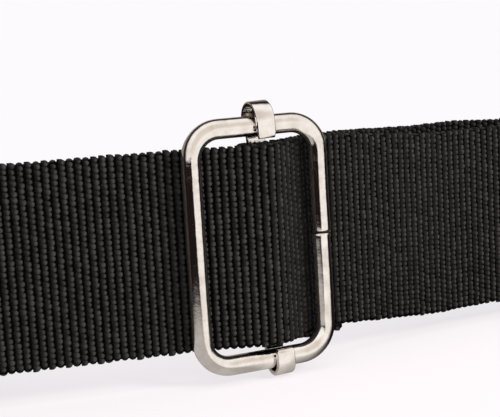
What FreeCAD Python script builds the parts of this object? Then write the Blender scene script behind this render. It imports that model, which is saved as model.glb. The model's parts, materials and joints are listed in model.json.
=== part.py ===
import FreeCAD, Part
import math
import os

from FreeCAD import Vector

# Gait belt of 50 mm webbing, standing on its long edge.
# Millimetres. X runs along the belt to the right, Y to the back, Z up.
# The origin lies on the standing surface, under the middle of the slider frame.

# Webbing
WEB_WIDTH = 50.0
WEB_THICK = 1.9
LAYER_GAP = 0.2

# Slider frame: one round wire bent to a rounded rectangle, its two ends butted on the right side
WIRE_DIAMETER = 4.9
FRAME_WIDTH = 33.4
FRAME_CORNER_RADIUS = 7.2
BUTT_GAP = 0.5
BUTT_RISE = 1.2

# Slider bar: a flat strip behind the wires, hooked over both of them and ending in front
BAR_WIDTH = 4.8
BAR_THICK = 1.2
BAR_OFFSET = 2.7
BAR_TILT = 2.0
BAR_WIRE_GAP = 0.3
HOOK_GAP_TOP = 1.9
HOOK_EYE_RADIUS = 4.3
HOOK_NECK_RADIUS = 1.8
HOOK_GAP_BOTTOM = 1.1
HOOK_LEG_TOP = 3.3
HOOK_LEG_BOTTOM = 2.4
BAR_EDGE_ROUND = 0.25

# How the webbing goes through the slider
WEB_ABOVE_WIRE = 1.15
WEB_BELOW_WIRE = 1.85
LEFT_ANGLE = 10.5
RIGHT_ANGLE = 9.0
BACK_RUN_ANGLE = 19.0
CREST = 2.8
CREST_RADIUS = 8.0
WIRE_WEB_GAP = 0.35
LEFT_BEND_PAST_WIRE = 1.5
RIGHT_BEND_PAST_WIRE = 1.9
RIGHT_BEND_BACK = 6.5
SOFT_RADIUS = 8.0
PASS_LEFT_LENGTH = 8.0
PASS_RIGHT_LENGTH = 6.0
BAR_WEB_GAP = 0.15
TAIL_LENGTH = 8.5
TAIL_DROP = 2.3
TAIL_LIP_OVERLAP = 1.0

# Straight runs on each side of the slider
LEFT_LEVEL_LENGTH = 40.0
LEFT_SLOPE_LENGTH = 42.0
RUN_BEND_X = 66.0
RUN_BEND_RADIUS = 120.0
RUN_END_LENGTH = 6.0
FRONT_RUN_DROP = 3.15
BACK_RUN_DROP = 1.6

# Roll of the unseen length: a double spiral round an S
ROLL_CORE_RADIUS = 6.0
ROLL_GAP = 0.5
ROLL_HALF_TURNS = 7

# Side-release buckle for the same webbing
BUCKLE_WIDTH = 61.0
BUCKLE_THICK = 15.0
WEB_BAR_RADIUS = 2.5
WEB_BAR_GAP = 0.3
RAIL_GAP = 0.3
SLOT_LENGTH = 5.5
WEB_END_OVERLAP = 1.0
MALE_BAR_X = 118.0
MALE_BAR_Y = 18.0
RAIL_THICK = 7.0
MALE_BASE_LENGTH = 10.0
MALE_BASE_THICK = 12.0
TURN_LENGTH = 12.0
TURN_BLEND = 2.0
TURN_STRAIGHT = 3.0
PLUG_LENGTH = 34.0
PLUG_GAP = 0.4
TONGUE_WIDTH = 9.0
TONGUE_THICK = 4.0
ARM_WIDTH = 4.2
ARM_TIP_INSET = 0.5
ARM_CATCH_LENGTH = 17.0
ARM_CATCH_FLAT = 9.0
ARM_ROUND = 0.8
HINGE_GAP = 0.3
FEMALE_WALL = 3.0
FEMALE_SIDE_WALL = 4.4
FEMALE_REAR_WALL = 4.0
PLUG_END_ROOM = 3.5
WINDOW_END_ROOM = 1.5
WINDOW_ROUND = 2.0

# Run from the roll to the female buckle
FEMALE_RISE_LENGTH = 34.0
FEMALE_BEND_RADIUS = 60.0
FEMALE_LEVEL_LENGTH = 10.0
FEMALE_OVERLAP = 38.0

# Stitching
STITCH_LENGTH = 2.6
STITCH_PITCH = 3.4
STITCH_RADIUS = 0.4
STITCH_MARGIN = 3.5
STITCH_BOX_LENGTH = 26.0
BAR_STITCH_ROWS = 3
BAR_STITCH_ROW_PITCH = 2.6

# Sizes that follow from the ones above
WIRE_RADIUS = WIRE_DIAMETER / 2
FRAME_HEIGHT = WEB_ABOVE_WIRE + WEB_WIDTH + WEB_BELOW_WIRE + WIRE_DIAMETER
LOW_WIRE_Z = BAR_THICK + HOOK_GAP_BOTTOM + WIRE_RADIUS
TOP_WIRE_Z = LOW_WIRE_Z + FRAME_HEIGHT
FRAME_MID_Z = (LOW_WIRE_Z + TOP_WIRE_Z) / 2
WEB_Z = LOW_WIRE_Z + WIRE_RADIUS + WEB_ABOVE_WIRE
BAR_Y = WIRE_RADIUS + BAR_WIRE_GAP + BAR_THICK / 2
LAYER_STEP = WEB_THICK + LAYER_GAP
ROLL_PITCH = WEB_THICK + ROLL_GAP
BUCKLE_WEB_Z = (BUCKLE_WIDTH - WEB_WIDTH) / 2
TURN_RADIUS = WEB_BAR_RADIUS + WEB_BAR_GAP + WEB_THICK / 2
RAIL_HEIGHT = BUCKLE_WEB_Z - RAIL_GAP
PLUG_THICK = BUCKLE_THICK - 2 * (FEMALE_WALL + 2 * PLUG_GAP)
ARM_INSET = FEMALE_SIDE_WALL + PLUG_GAP
FEMALE_LENGTH = PLUG_LENGTH + PLUG_END_ROOM + FEMALE_REAR_WALL


def heading(degrees):
    """Unit vector in the plan, measured from +X towards +Y."""
    return Vector(math.cos(math.radians(degrees)), math.sin(math.radians(degrees)), 0)


def left_of(direction):
    """Unit vector in the plan a quarter turn to the left of a direction."""
    return Vector(-direction.y, direction.x, 0)


def crossing(p, u, q, v):
    """Point where the plan line through p along u meets the one through q along v."""
    along = ((q.x - p.x) * v.y - (q.y - p.y) * v.x) / (u.x * v.y - u.y * v.x)
    return p + u * along


def rounded_route(corners):
    """Turn corners (point with height, radius) into straight runs and tangent level arcs.

    A run is ("line", start, end). An arc is ("arc", centre, radius, start angle, sweep, height).
    """
    pieces = []
    here = corners[0][0]
    for (before, _), (corner, radius), (after, _) in zip(corners, corners[1:], corners[2:]):
        way_in = Vector(corner.x - before.x, corner.y - before.y, 0).normalize()
        way_out = Vector(after.x - corner.x, after.y - corner.y, 0).normalize()
        turn = math.atan2(way_in.x * way_out.y - way_in.y * way_out.x, way_in.dot(way_out))
        setback = radius * math.tan(abs(turn) / 2)
        arc_start = corner - way_in * setback
        side = math.copysign(1.0, turn)
        centre = arc_start + left_of(way_in) * (side * radius)
        start_angle = math.atan2(arc_start.y - centre.y, arc_start.x - centre.x)
        pieces.append(("line", here, arc_start))
        pieces.append(("arc", Vector(centre.x, centre.y, 0), radius, start_angle, turn, corner.z))
        here = corner + way_out * setback
    pieces.append(("line", here, corners[-1][0]))
    return pieces


def line_solid(start, end, height, thick):
    """Upright strip along a straight run, whose lower edge goes from start to end."""
    side = left_of(Vector(end.x - start.x, end.y - start.y, 0).normalize()) * (thick / 2)
    rise = Vector(0, 0, height)
    loop = [start - side, start + side, start + side + rise, start - side + rise, start - side]
    return Part.Face(Part.makePolygon(loop)).extrude(end - start)


def on_circle(centre, radius, angle, z):
    return Vector(centre.x + radius * math.cos(angle), centre.y + radius * math.sin(angle), z)


def arc_edge(centre, radius, start, sweep, z):
    """Arc edge of any sweep up to half a turn."""
    points = [on_circle(centre, radius, start + sweep * part, z) for part in (0, 0.5, 1)]
    return Part.Arc(*points).toShape()


def arc_solid(centre, radius, start, sweep, z, height, thick):
    """Upright strip bent along a level arc."""
    outer = radius + thick / 2
    inner = radius - thick / 2
    edges = [
        arc_edge(centre, outer, start, sweep, z),
        Part.makeLine(on_circle(centre, outer, start + sweep, z), on_circle(centre, inner, start + sweep, z)),
        arc_edge(centre, inner, start + sweep, -sweep, z),
        Part.makeLine(on_circle(centre, inner, start, z), on_circle(centre, outer, start, z)),
    ]
    return Part.Face(Part.Wire(edges)).extrude(Vector(0, 0, height))


def joined(solids):
    """One solid from pieces that meet face to face."""
    whole = solids[0].multiFuse(solids[1:]) if len(solids) > 1 else solids[0]
    return whole.removeSplitter()


def strap(pieces):
    """Webbing solid along a route."""
    solids = []
    for piece in pieces:
        if piece[0] == "line":
            solids.append(line_solid(piece[1], piece[2], WEB_WIDTH, WEB_THICK))
        else:
            _, centre, radius, start, sweep, z = piece
            solids.append(arc_solid(centre, radius, start, sweep, z, WEB_WIDTH, WEB_THICK))
    return joined(solids)


def route_length(pieces):
    total = 0.0
    for piece in pieces:
        total += (piece[2] - piece[1]).Length if piece[0] == "line" else abs(piece[2] * piece[4])
    return total


def lifted(point, z):
    return Vector(point.x, point.y, z)


# The route of the webbing through the slider
left_wire = Vector(-FRAME_WIDTH / 2, 0, 0)
right_wire = Vector(FRAME_WIDTH / 2, 0, 0)
left_way = heading(-LEFT_ANGLE)
left_bend = (
    left_wire
    + left_of(left_way) * (WIRE_RADIUS + WIRE_WEB_GAP + WEB_THICK / 2)
    + left_way * LEFT_BEND_PAST_WIRE
)
crest_point = Vector(BAR_OFFSET, -CREST, 0)
right_bend = right_wire + Vector(RIGHT_BEND_PAST_WIRE, RIGHT_BEND_BACK, 0)
right_way = heading(RIGHT_ANGLE)
pass_start = left_bend - left_way * PASS_LEFT_LENGTH
pass_end = right_bend + right_way * PASS_RIGHT_LENGTH
climb_way = Vector(right_bend.x - crest_point.x, right_bend.y - crest_point.y, 0).normalize()

# The route of the sewn loop: its short tail in front, the long layer behind it
tilt_room = WEB_WIDTH / 2 * math.sin(math.radians(BAR_TILT))
nose_radius = BAR_THICK / 2 + BAR_WEB_GAP + WEB_THICK / 2
nose_centre = Vector(BAR_OFFSET - BAR_WIDTH / 2 - tilt_room, BAR_Y, 0)
along_x = Vector(1, 0, 0)
tail_step = left_of(climb_way) * LAYER_STEP
tail_corner = crossing(
    Vector(0, BAR_Y - nose_radius, 0), along_x, crest_point + tail_step, climb_way
)
long_corner = crossing(
    Vector(0, BAR_Y + nose_radius, 0), along_x, crest_point + tail_step * 2, climb_way
)
tail_bend = crossing(
    crest_point + tail_step, climb_way, right_bend + left_of(right_way) * LAYER_STEP, right_way
)
long_bend = crossing(
    crest_point + tail_step * 2, climb_way,
    right_bend + left_of(right_way) * (2 * LAYER_STEP), right_way,
)
long_end = long_bend + right_way * PASS_RIGHT_LENGTH

# The buckle's web bars
male_bar = Vector(MALE_BAR_X, MALE_BAR_Y, 0)
male_front = male_bar + Vector(-TURN_LENGTH, -TURN_RADIUS, BUCKLE_WEB_Z)
male_back = male_bar + Vector(-TURN_LENGTH, TURN_RADIUS, BUCKLE_WEB_Z)

# The roll
roll_reach = 2 * ROLL_CORE_RADIUS + ROLL_HALF_TURNS * ROLL_PITCH
level_end = pass_start - left_way * LEFT_LEVEL_LENGTH
roll_entry = level_end - left_way * LEFT_SLOPE_LENGTH
roll_centre = roll_entry + left_of(left_way) * roll_reach
roll_exit = roll_centre + left_of(left_way) * roll_reach
exit_way = left_way * -1

# The female buckle lies along X, its mouth to the left
female_bend = roll_exit + exit_way * FEMALE_RISE_LENGTH
female_start = lifted(female_bend, BUCKLE_WEB_Z) - along_x * FEMALE_LEVEL_LENGTH
female_bar = Vector(female_start.x - FEMALE_OVERLAP, female_start.y + TURN_RADIUS, 0)


def make_slider_frame():
    """Round wire along a rounded rectangle, open at the butt joint on the right side."""
    half_w = FRAME_WIDTH / 2
    r = FRAME_CORNER_RADIUS
    bend = r * (1 - math.sqrt(0.5))
    low, top = LOW_WIRE_Z, TOP_WIRE_Z
    butt_z = FRAME_MID_Z + BUTT_RISE

    def at(x, z):
        return Vector(x, 0, z)

    edges = [
        Part.makeLine(at(half_w, butt_z + BUTT_GAP / 2), at(half_w, top - r)),
        Part.Arc(at(half_w, top - r), at(half_w - bend, top - bend), at(half_w - r, top)).toShape(),
        Part.makeLine(at(half_w - r, top), at(r - half_w, top)),
        Part.Arc(at(r - half_w, top), at(bend - half_w, top - bend), at(-half_w, top - r)).toShape(),
        Part.makeLine(at(-half_w, top - r), at(-half_w, low + r)),
        Part.Arc(at(-half_w, low + r), at(bend - half_w, low + bend), at(r - half_w, low)).toShape(),
        Part.makeLine(at(r - half_w, low), at(half_w - r, low)),
        Part.Arc(at(half_w - r, low), at(half_w - bend, low + bend), at(half_w, low + r)).toShape(),
        Part.makeLine(at(half_w, low + r), at(half_w, butt_z - BUTT_GAP / 2)),
    ]
    section = Part.Wire(Part.makeCircle(WIRE_RADIUS, at(half_w, butt_z + BUTT_GAP / 2), Vector(0, 0, 1)))
    return Part.Wire(edges).makePipeShell([section], True, False)


def make_slider_bar():
    """Strip with a hook at each end, first drawn flat in the plan, then stood up.

    In the flat drawing X is the depth and Y the height. The lower hook is a half round. The upper one
    is a wider eye that bulges to the back and comes in again through a short neck.
    """
    eye = Vector(HOOK_EYE_RADIUS - BAR_Y, TOP_WIRE_Z + WIRE_RADIUS + HOOK_GAP_TOP + BAR_THICK / 2 - HOOK_EYE_RADIUS, 0)
    reach = HOOK_EYE_RADIUS + HOOK_NECK_RADIUS
    turn = math.acos((BAR_Y + HOOK_NECK_RADIUS - eye.x) / reach)
    neck = eye + Vector(math.cos(turn), -math.sin(turn), 0) * reach
    low_arch = BAR_THICK / 2 + BAR_Y
    leg_top = TOP_WIRE_Z - HOOK_LEG_TOP
    leg_low = LOW_WIRE_Z + HOOK_LEG_BOTTOM
    solids = [
        line_solid(Vector(BAR_Y, low_arch, 0), Vector(BAR_Y, neck.y, 0), BAR_WIDTH, BAR_THICK),
        arc_solid(neck, HOOK_NECK_RADIUS, math.pi, -turn, 0, BAR_WIDTH, BAR_THICK),
        arc_solid(eye, HOOK_EYE_RADIUS, 0, -turn, 0, BAR_WIDTH, BAR_THICK),
        arc_solid(eye, HOOK_EYE_RADIUS, 0, math.pi, 0, BAR_WIDTH, BAR_THICK),
        arc_solid(Vector(0, low_arch, 0), BAR_Y, 0, -math.pi, 0, BAR_WIDTH, BAR_THICK),
        line_solid(Vector(-BAR_Y, eye.y, 0), Vector(-BAR_Y, leg_top, 0), BAR_WIDTH, BAR_THICK),
        line_solid(Vector(-BAR_Y, low_arch, 0), Vector(-BAR_Y, leg_low, 0), BAR_WIDTH, BAR_THICK),
    ]
    bar = joined(solids)
    bar = bar.makeFillet(BAR_EDGE_ROUND, [e for e in bar.Edges if abs(e.BoundBox.ZLength) < 1e-6])
    bar.rotate(Vector(0, 0, 0), Vector(1, 1, 1), 120)
    bar.translate(Vector(BAR_OFFSET - BAR_WIDTH / 2, 0, 0))
    bar.rotate(Vector(BAR_OFFSET, 0, FRAME_MID_Z), Vector(0, 1, 0), -BAR_TILT)
    bar.translate(Vector(0, 0, -bar.BoundBox.ZMin))
    return bar


def pass_route():
    return rounded_route([
        (lifted(pass_start, WEB_Z), 0),
        (lifted(left_bend, WEB_Z), SOFT_RADIUS),
        (lifted(crest_point, WEB_Z), CREST_RADIUS),
        (lifted(right_bend, WEB_Z), SOFT_RADIUS),
        (lifted(pass_end, WEB_Z), 0),
    ])


def bar_loop_routes():
    """The tail, which hangs a little lower, and the nose with the long layer."""
    tail_end = tail_bend + right_way * TAIL_LENGTH
    tail = rounded_route([
        (lifted(tail_end, WEB_Z), 0),
        (lifted(tail_bend, WEB_Z), SOFT_RADIUS),
        (lifted(tail_corner, WEB_Z), SOFT_RADIUS / 4),
        (Vector(nose_centre.x, tail_corner.y, WEB_Z), 0),
    ])
    nose = [("arc", nose_centre, nose_radius, -math.pi / 2, -math.pi, WEB_Z)]
    long_layer = rounded_route([
        (Vector(nose_centre.x, long_corner.y, WEB_Z), 0),
        (lifted(long_corner, WEB_Z), SOFT_RADIUS / 4),
        (lifted(long_bend, WEB_Z), SOFT_RADIUS),
        (lifted(long_end, WEB_Z), 0),
    ])
    return tail, nose, long_layer


def make_bar_loop():
    """Webbing folded round the bar; the last of its tail reaches below the other layer."""
    tail, nose, long_layer = bar_loop_routes()
    loop = strap(tail + nose + long_layer)
    tail_end = tail[0][1]
    low = Vector(0, 0, -TAIL_DROP)
    lip = line_solid(tail_end + low, tail_bend + Vector(0, 0, WEB_Z - TAIL_DROP),
                     TAIL_DROP + TAIL_LIP_OVERLAP, WEB_THICK)
    return joined([loop, lip])


def front_run_route():
    bend_y = pass_end.y + (RUN_BEND_X - pass_end.x) * math.tan(math.radians(RIGHT_ANGLE))
    return rounded_route([
        (lifted(pass_end, WEB_Z), 0),
        (Vector(RUN_BEND_X, bend_y, WEB_Z - FRONT_RUN_DROP), RUN_BEND_RADIUS),
        (male_front - along_x * RUN_END_LENGTH, RUN_BEND_RADIUS / 3),
        (male_front, 0),
    ])


def back_run_route():
    spread_bend = long_end + right_way * PASS_RIGHT_LENGTH
    way = heading(BACK_RUN_ANGLE)
    far_bend = spread_bend + way * ((RUN_BEND_X - spread_bend.x) / way.x)
    return rounded_route([
        (lifted(long_end, WEB_Z), 0),
        (lifted(spread_bend, WEB_Z), RUN_BEND_RADIUS / 4),
        (lifted(far_bend, WEB_Z - BACK_RUN_DROP), RUN_BEND_RADIUS / 3),
        (male_back - along_x * RUN_END_LENGTH, RUN_BEND_RADIUS / 3),
        (male_back, 0),
    ])


def male_turn_route():
    return [
        ("line", male_front, male_front + along_x * TURN_LENGTH),
        ("arc", male_bar, TURN_RADIUS, -math.pi / 2, math.pi, BUCKLE_WEB_Z),
        ("line", male_back + along_x * TURN_LENGTH, male_back),
    ]


def left_run_route():
    return [
        ("line", lifted(pass_start, WEB_Z), lifted(level_end, WEB_Z)),
        ("line", lifted(level_end, WEB_Z), lifted(roll_entry, 0)),
    ]


def roll_route():
    """Two arms that wind out side by side from an S, each in half turns a layer apart."""
    axis = math.atan2(left_way.y, left_way.x) + math.pi / 2
    arms = []
    for side in (0.0, math.pi):
        turned = Vector(math.cos(axis + side), math.sin(axis + side), 0)
        core_centre = roll_centre + turned * ROLL_CORE_RADIUS
        arm = [("arc", core_centre, ROLL_CORE_RADIUS, axis + side + math.pi, math.pi, 0)]
        for k in range(1, ROLL_HALF_TURNS + 1):
            outward = 1 if k % 2 == 0 else -1
            centre = roll_centre + turned * (outward * ROLL_PITCH / 2)
            radius = 2 * ROLL_CORE_RADIUS + (k - 0.5) * ROLL_PITCH
            start = axis + side + (math.pi if outward > 0 else 0)
            arm.append(("arc", centre, radius, start, math.pi, 0))
        arms.append(arm)
    return arms


def make_roll():
    """The rolled webbing as one outline, extruded to the webbing's width."""
    half = WEB_THICK / 2
    edges = []
    for arm in roll_route():
        for _, centre, radius, start, sweep, _ in arm:
            edges.append(arc_edge(centre, radius - half, start, sweep, 0))
            edges.append(arc_edge(centre, radius + half, start, sweep, 0))
        end = start + sweep
        inner_end = on_circle(centre, radius - half, end, 0)
        edges.append(Part.makeLine(inner_end, on_circle(centre, radius + half, end, 0)))
    ordered = Part.__sortEdges__(edges)
    return Part.Face(Part.Wire(ordered)).extrude(Vector(0, 0, WEB_WIDTH))


def roll_least_gap():
    """Smallest clear distance between turns, measured on points along the roll's middle line."""
    points = []
    for arm, sign in zip(roll_route(), (1, -1)):
        travelled = 0.0
        for _, centre, radius, start, sweep, _ in arm:
            steps = max(8, int(radius * 3))
            for i in range(steps):
                part = i / steps
                along = sign * (travelled + radius * sweep * part)
                points.append((along, on_circle(centre, radius, start + sweep * part, 0)))
            travelled += radius * sweep
    least = 1e9
    for i, (s, p) in enumerate(points):
        for t, q in points[i + 1:]:
            if abs(s - t) > 3 * ROLL_CORE_RADIUS:
                least = min(least, (p - q).Length)
    return least - WEB_THICK


def female_run_route():
    return rounded_route([
        (lifted(roll_exit, 0), 0),
        (lifted(female_bend, BUCKLE_WEB_Z), FEMALE_BEND_RADIUS),
        (female_start, 0),
    ])


def female_split_x():
    """Where the webbing round the web bar ends and the doubled stretch begins."""
    return female_bar.x + TURN_LENGTH + TURN_BLEND


def female_turn_route():
    """Round the web bar and back, until the two layers lie together."""
    front = female_start.y
    back_y = female_bar.y + TURN_RADIUS
    tail_y = front + LAYER_STEP
    return [
        ("line", Vector(female_split_x(), front, BUCKLE_WEB_Z), Vector(female_bar.x, front, BUCKLE_WEB_Z)),
        ("arc", female_bar, TURN_RADIUS, -math.pi / 2, -math.pi, BUCKLE_WEB_Z),
    ] + rounded_route([
        (Vector(female_bar.x, back_y, BUCKLE_WEB_Z), 0),
        (Vector(female_bar.x + TURN_STRAIGHT, back_y, BUCKLE_WEB_Z), SOFT_RADIUS / 2),
        (Vector(female_bar.x + TURN_LENGTH, tail_y, BUCKLE_WEB_Z), SOFT_RADIUS / 2),
        (Vector(female_split_x(), tail_y, BUCKLE_WEB_Z), 0),
    ])


def female_doubled_routes():
    """The front layer and the strap's sewn end behind it."""
    split_x = female_split_x()
    tail_y = female_start.y + LAYER_STEP
    front = [("line", female_start, Vector(split_x, female_start.y, BUCKLE_WEB_Z))]
    end_x = female_start.x - HINGE_GAP
    tail = [("line", Vector(split_x, tail_y, BUCKLE_WEB_Z), Vector(end_x, tail_y, BUCKLE_WEB_Z))]
    return front, tail


def block(x0, x1, y0, y1, z0, z1):
    return Part.makeBox(x1 - x0, y1 - y0, z1 - z0, Vector(x0, y0, z0))


def softened(solid, radius, wanted):
    """Fillet the edges that a test picks."""
    return solid.makeFillet(radius, [e for e in solid.Edges if wanted(e)])


def runs_along(axis):
    """Test for straight edges along one axis."""
    lengths = ("XLength", "YLength", "ZLength")

    def test(edge):
        box = edge.BoundBox
        return all(getattr(box, name) < 1e-6 for i, name in enumerate(lengths) if i != axis)

    return test


def make_web_end(bar, direction):
    """Web bar, its two rails and a cross piece, shared by both halves of the buckle."""
    x = bar.x
    y = bar.y
    slot_end = WEB_BAR_RADIUS + SLOT_LENGTH
    rails = []
    for z0 in (0.0, BUCKLE_WIDTH - RAIL_HEIGHT):
        x0, x1 = sorted((x, x + direction * (slot_end + WEB_END_OVERLAP)))
        rail = block(x0, x1, y - RAIL_THICK / 2, y + RAIL_THICK / 2, z0, z0 + RAIL_HEIGHT)
        cap = Part.makeCylinder(RAIL_THICK / 2, RAIL_HEIGHT, Vector(x, y, z0))
        rails += [rail, cap]
    web_bar = Part.makeCylinder(WEB_BAR_RADIUS, BUCKLE_WIDTH - 2 * WEB_END_OVERLAP, Vector(x, y, WEB_END_OVERLAP))
    return rails + [web_bar], x + direction * slot_end


def make_buckle_male():
    """Plug half: web bar, base and centre tongue. Its two arms are solids of their own."""
    pieces, base_x = make_web_end(male_bar, 1)
    y = male_bar.y
    half = MALE_BASE_THICK / 2
    base = block(base_x, base_x + MALE_BASE_LENGTH, y - half, y + half, 0, BUCKLE_WIDTH)
    base = softened(base, half * 0.6, runs_along(2))
    mid = BUCKLE_WIDTH / 2
    tongue = block(
        base_x + MALE_BASE_LENGTH - 1, base_x + MALE_BASE_LENGTH + PLUG_LENGTH,
        y - TONGUE_THICK / 2, y + TONGUE_THICK / 2, mid - TONGUE_WIDTH / 2, mid + TONGUE_WIDTH / 2,
    )
    tongue = softened(tongue, TONGUE_THICK * 0.3, runs_along(0))
    return joined(pieces + [base, tongue])


def plug_root_x():
    return male_bar.x + WEB_BAR_RADIUS + SLOT_LENGTH + MALE_BASE_LENGTH


def arm_root_x():
    """Axis of the round root on which an arm flexes."""
    return plug_root_x() + HINGE_GAP + ARM_WIDTH / 2


def female_mouth_x():
    return female_bar.x - WEB_BAR_RADIUS - SLOT_LENGTH - FEMALE_LENGTH


def make_male_arm(upper):
    """Spring arm with a round root, whose end steps out to catch in the socket's side window."""
    x0 = arm_root_x()
    x_tip = plug_root_x() + PLUG_LENGTH
    x_catch = x_tip - ARM_CATCH_LENGTH
    inner = ARM_INSET + ARM_WIDTH
    outline = [
        (x0, ARM_INSET),
        (x_catch, ARM_INSET),
        (x_catch, ARM_TIP_INSET),
        (x_catch + ARM_CATCH_FLAT, ARM_TIP_INSET),
        (x_tip, ARM_INSET),
        (x_tip, inner),
        (x0, inner),
    ]
    y = male_bar.y - PLUG_THICK / 2
    points = [Vector(x, y, BUCKLE_WIDTH - z if upper else z) for x, z in outline]
    arm = Part.Face(Part.makePolygon(points + points[:1])).extrude(Vector(0, PLUG_THICK, 0))
    arm = softened(arm, ARM_ROUND, lambda edge: runs_along(1)(edge) and edge.BoundBox.XMin > x0 + ARM_ROUND)
    root_z = ARM_INSET + ARM_WIDTH / 2
    root = Vector(x0, y, BUCKLE_WIDTH - root_z if upper else root_z)
    return joined([arm, Part.makeCylinder(ARM_WIDTH / 2, PLUG_THICK, root, Vector(0, 1, 0))])


def make_buckle_female():
    """Socket half: a flat shell, open at the mouth, with a window in each side and a web bar."""
    pieces, base_x = make_web_end(female_bar, -1)
    y = female_bar.y
    half = BUCKLE_THICK / 2
    mouth_x = female_mouth_x()
    shell = block(mouth_x, base_x, y - half, y + half, 0, BUCKLE_WIDTH)
    shell = softened(shell, half * 0.55, runs_along(0))
    cavity = block(
        mouth_x - 1, base_x - FEMALE_REAR_WALL, y - half + FEMALE_WALL, y + half - FEMALE_WALL,
        FEMALE_SIDE_WALL, BUCKLE_WIDTH - FEMALE_SIDE_WALL,
    )
    window_x = mouth_x + PLUG_LENGTH - ARM_CATCH_LENGTH - PLUG_GAP
    window = block(
        window_x, window_x + ARM_CATCH_LENGTH + WINDOW_END_ROOM,
        y - half + FEMALE_WALL, y + half - FEMALE_WALL, -1, BUCKLE_WIDTH + 1,
    )
    window = softened(window, WINDOW_ROUND, runs_along(2))
    shell = shell.cut(cavity).cut(window)
    return joined([shell] + pieces)


def stitch_bar(middle, direction):
    """One stitch: half a round bar with its flat side down, along a direction, facing +Z."""
    half_round = Part.makeCylinder(STITCH_RADIUS, STITCH_LENGTH, Vector(0, 0, 0), Vector(1, 0, 0))
    keep = block(0, STITCH_LENGTH, -STITCH_RADIUS, STITCH_RADIUS, 0, STITCH_RADIUS)
    bar = half_round.common(keep)
    bar.translate(Vector(-STITCH_LENGTH / 2, 0, 0))
    bar.rotate(Vector(0, 0, 0), Vector(0, 0, 1), direction)
    bar.translate(middle)
    return bar


def stitch_row(start, end):
    """Stitches along a flat line, as (middle, direction) pairs."""
    run = end - start
    count = max(2, int(run.Length / STITCH_PITCH))
    direction = math.degrees(math.atan2(run.y, run.x))
    return [(start + run * ((i + 0.5) / count), direction) for i in range(count)]


def stood_against(solids, foot, angle, outward):
    """Stand flat stitches up on a webbing face: flat X goes along the face, flat Y goes up.

    foot is the face's lower corner, angle the heading along the face, and outward is +1
    where the face looks to the left of that heading, or -1 to the right.
    """
    group = Part.makeCompound(solids)
    group.rotate(Vector(0, 0, 0), Vector(1, 0, 0), 90)
    if outward > 0:
        group = group.mirror(Vector(0, 0, 0), Vector(0, 1, 0))
    group.rotate(Vector(0, 0, 0), Vector(0, 0, 1), angle)
    group.translate(foot)
    return group


def make_bar_loop_stitching():
    """Upright rows behind the slider, on the back of the long layer, over the tail's end."""
    stitches = []
    for row in range(BAR_STITCH_ROWS):
        x = row * BAR_STITCH_ROW_PITCH
        low = Vector(x, STITCH_MARGIN, 0)
        high = Vector(x, WEB_WIDTH - STITCH_MARGIN, 0)
        stitches += [stitch_bar(*place) for place in stitch_row(low, high)]
    first_row = TAIL_LENGTH - (BAR_STITCH_ROWS - 1) * BAR_STITCH_ROW_PITCH + BAR_STITCH_ROW_PITCH / 2
    foot = long_bend + right_way * first_row + left_of(right_way) * (WEB_THICK / 2)
    return stood_against(stitches, lifted(foot, WEB_Z), RIGHT_ANGLE, 1)


def make_female_loop_stitching():
    """A sewn box with a cross in it, on both faces of the doubled webbing."""
    low = STITCH_MARGIN
    high = WEB_WIDTH - STITCH_MARGIN
    left = STITCH_MARGIN
    right = left + STITCH_BOX_LENGTH - STITCH_MARGIN
    corners = [Vector(left, low, 0), Vector(right, low, 0), Vector(right, high, 0), Vector(left, high, 0)]
    sides = list(zip(corners, corners[1:] + corners[:1]))
    diagonals = [(corners[0], corners[2]), (corners[1], corners[3])]
    middle = (corners[0] + corners[2]) / 2
    places = []
    for start, end in sides:
        places += stitch_row(start, end)
    for start, end in diagonals:
        places += [p for p in stitch_row(start, end) if clear_of(p[0], corners + [middle])]
    flat = [stitch_bar(*place) for place in places]
    foot = Vector(female_start.x - STITCH_BOX_LENGTH, 0, BUCKLE_WEB_Z)
    front_y = female_start.y - WEB_THICK / 2
    back_y = female_start.y + LAYER_STEP + WEB_THICK / 2
    front = stood_against([s.copy() for s in flat], foot + Vector(0, front_y, 0), 0, -1)
    back = stood_against(flat, foot + Vector(0, back_y, 0), 0, 1)
    return Part.makeCompound(front.Solids + back.Solids)


def clear_of(point, others):
    return all((point - other).Length > STITCH_LENGTH for other in others)


def make_parts():
    routes = {
        "webbing_slider_pass": pass_route(),
        "webbing_left_run": left_run_route(),
        "webbing_front_run": front_run_route(),
        "webbing_back_run": back_run_route(),
        "webbing_male_turn": male_turn_route(),
        "webbing_female_run": female_run_route(),
        "webbing_female_turn": female_turn_route(),
    }
    parts = {name: strap(route) for name, route in routes.items()}
    parts["webbing_female_doubled"] = Part.makeCompound([strap(layer) for layer in female_doubled_routes()])
    parts["webbing_bar_loop"] = make_bar_loop()
    parts["webbing_roll"] = make_roll()
    parts["slider_frame"] = make_slider_frame()
    parts["slider_bar"] = make_slider_bar()
    parts["buckle_male"] = make_buckle_male()
    parts["male_arm_upper"] = make_male_arm(True)
    parts["male_arm_lower"] = make_male_arm(False)
    parts["buckle_female"] = make_buckle_female()
    parts["bar_loop_stitching"] = make_bar_loop_stitching()
    parts["female_loop_stitching"] = make_female_loop_stitching()
    roll_length = sum(route_length(arm) for arm in roll_route())
    total = sum(route_length(route) for route in routes.values())
    total += route_length(sum(bar_loop_routes() + female_doubled_routes(), [])) + roll_length
    print("webbing cut length %.0f mm, roll %.0f mm, least gap in the roll %.2f mm"
          % (total, roll_length, roll_least_gap()))
    return parts


def say(name, point):
    """Print a place in metres, as the record gives it."""
    print("%s: %.5f %.5f %.5f" % (name, point.x / 1000, point.y / 1000, point.z / 1000))


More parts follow.
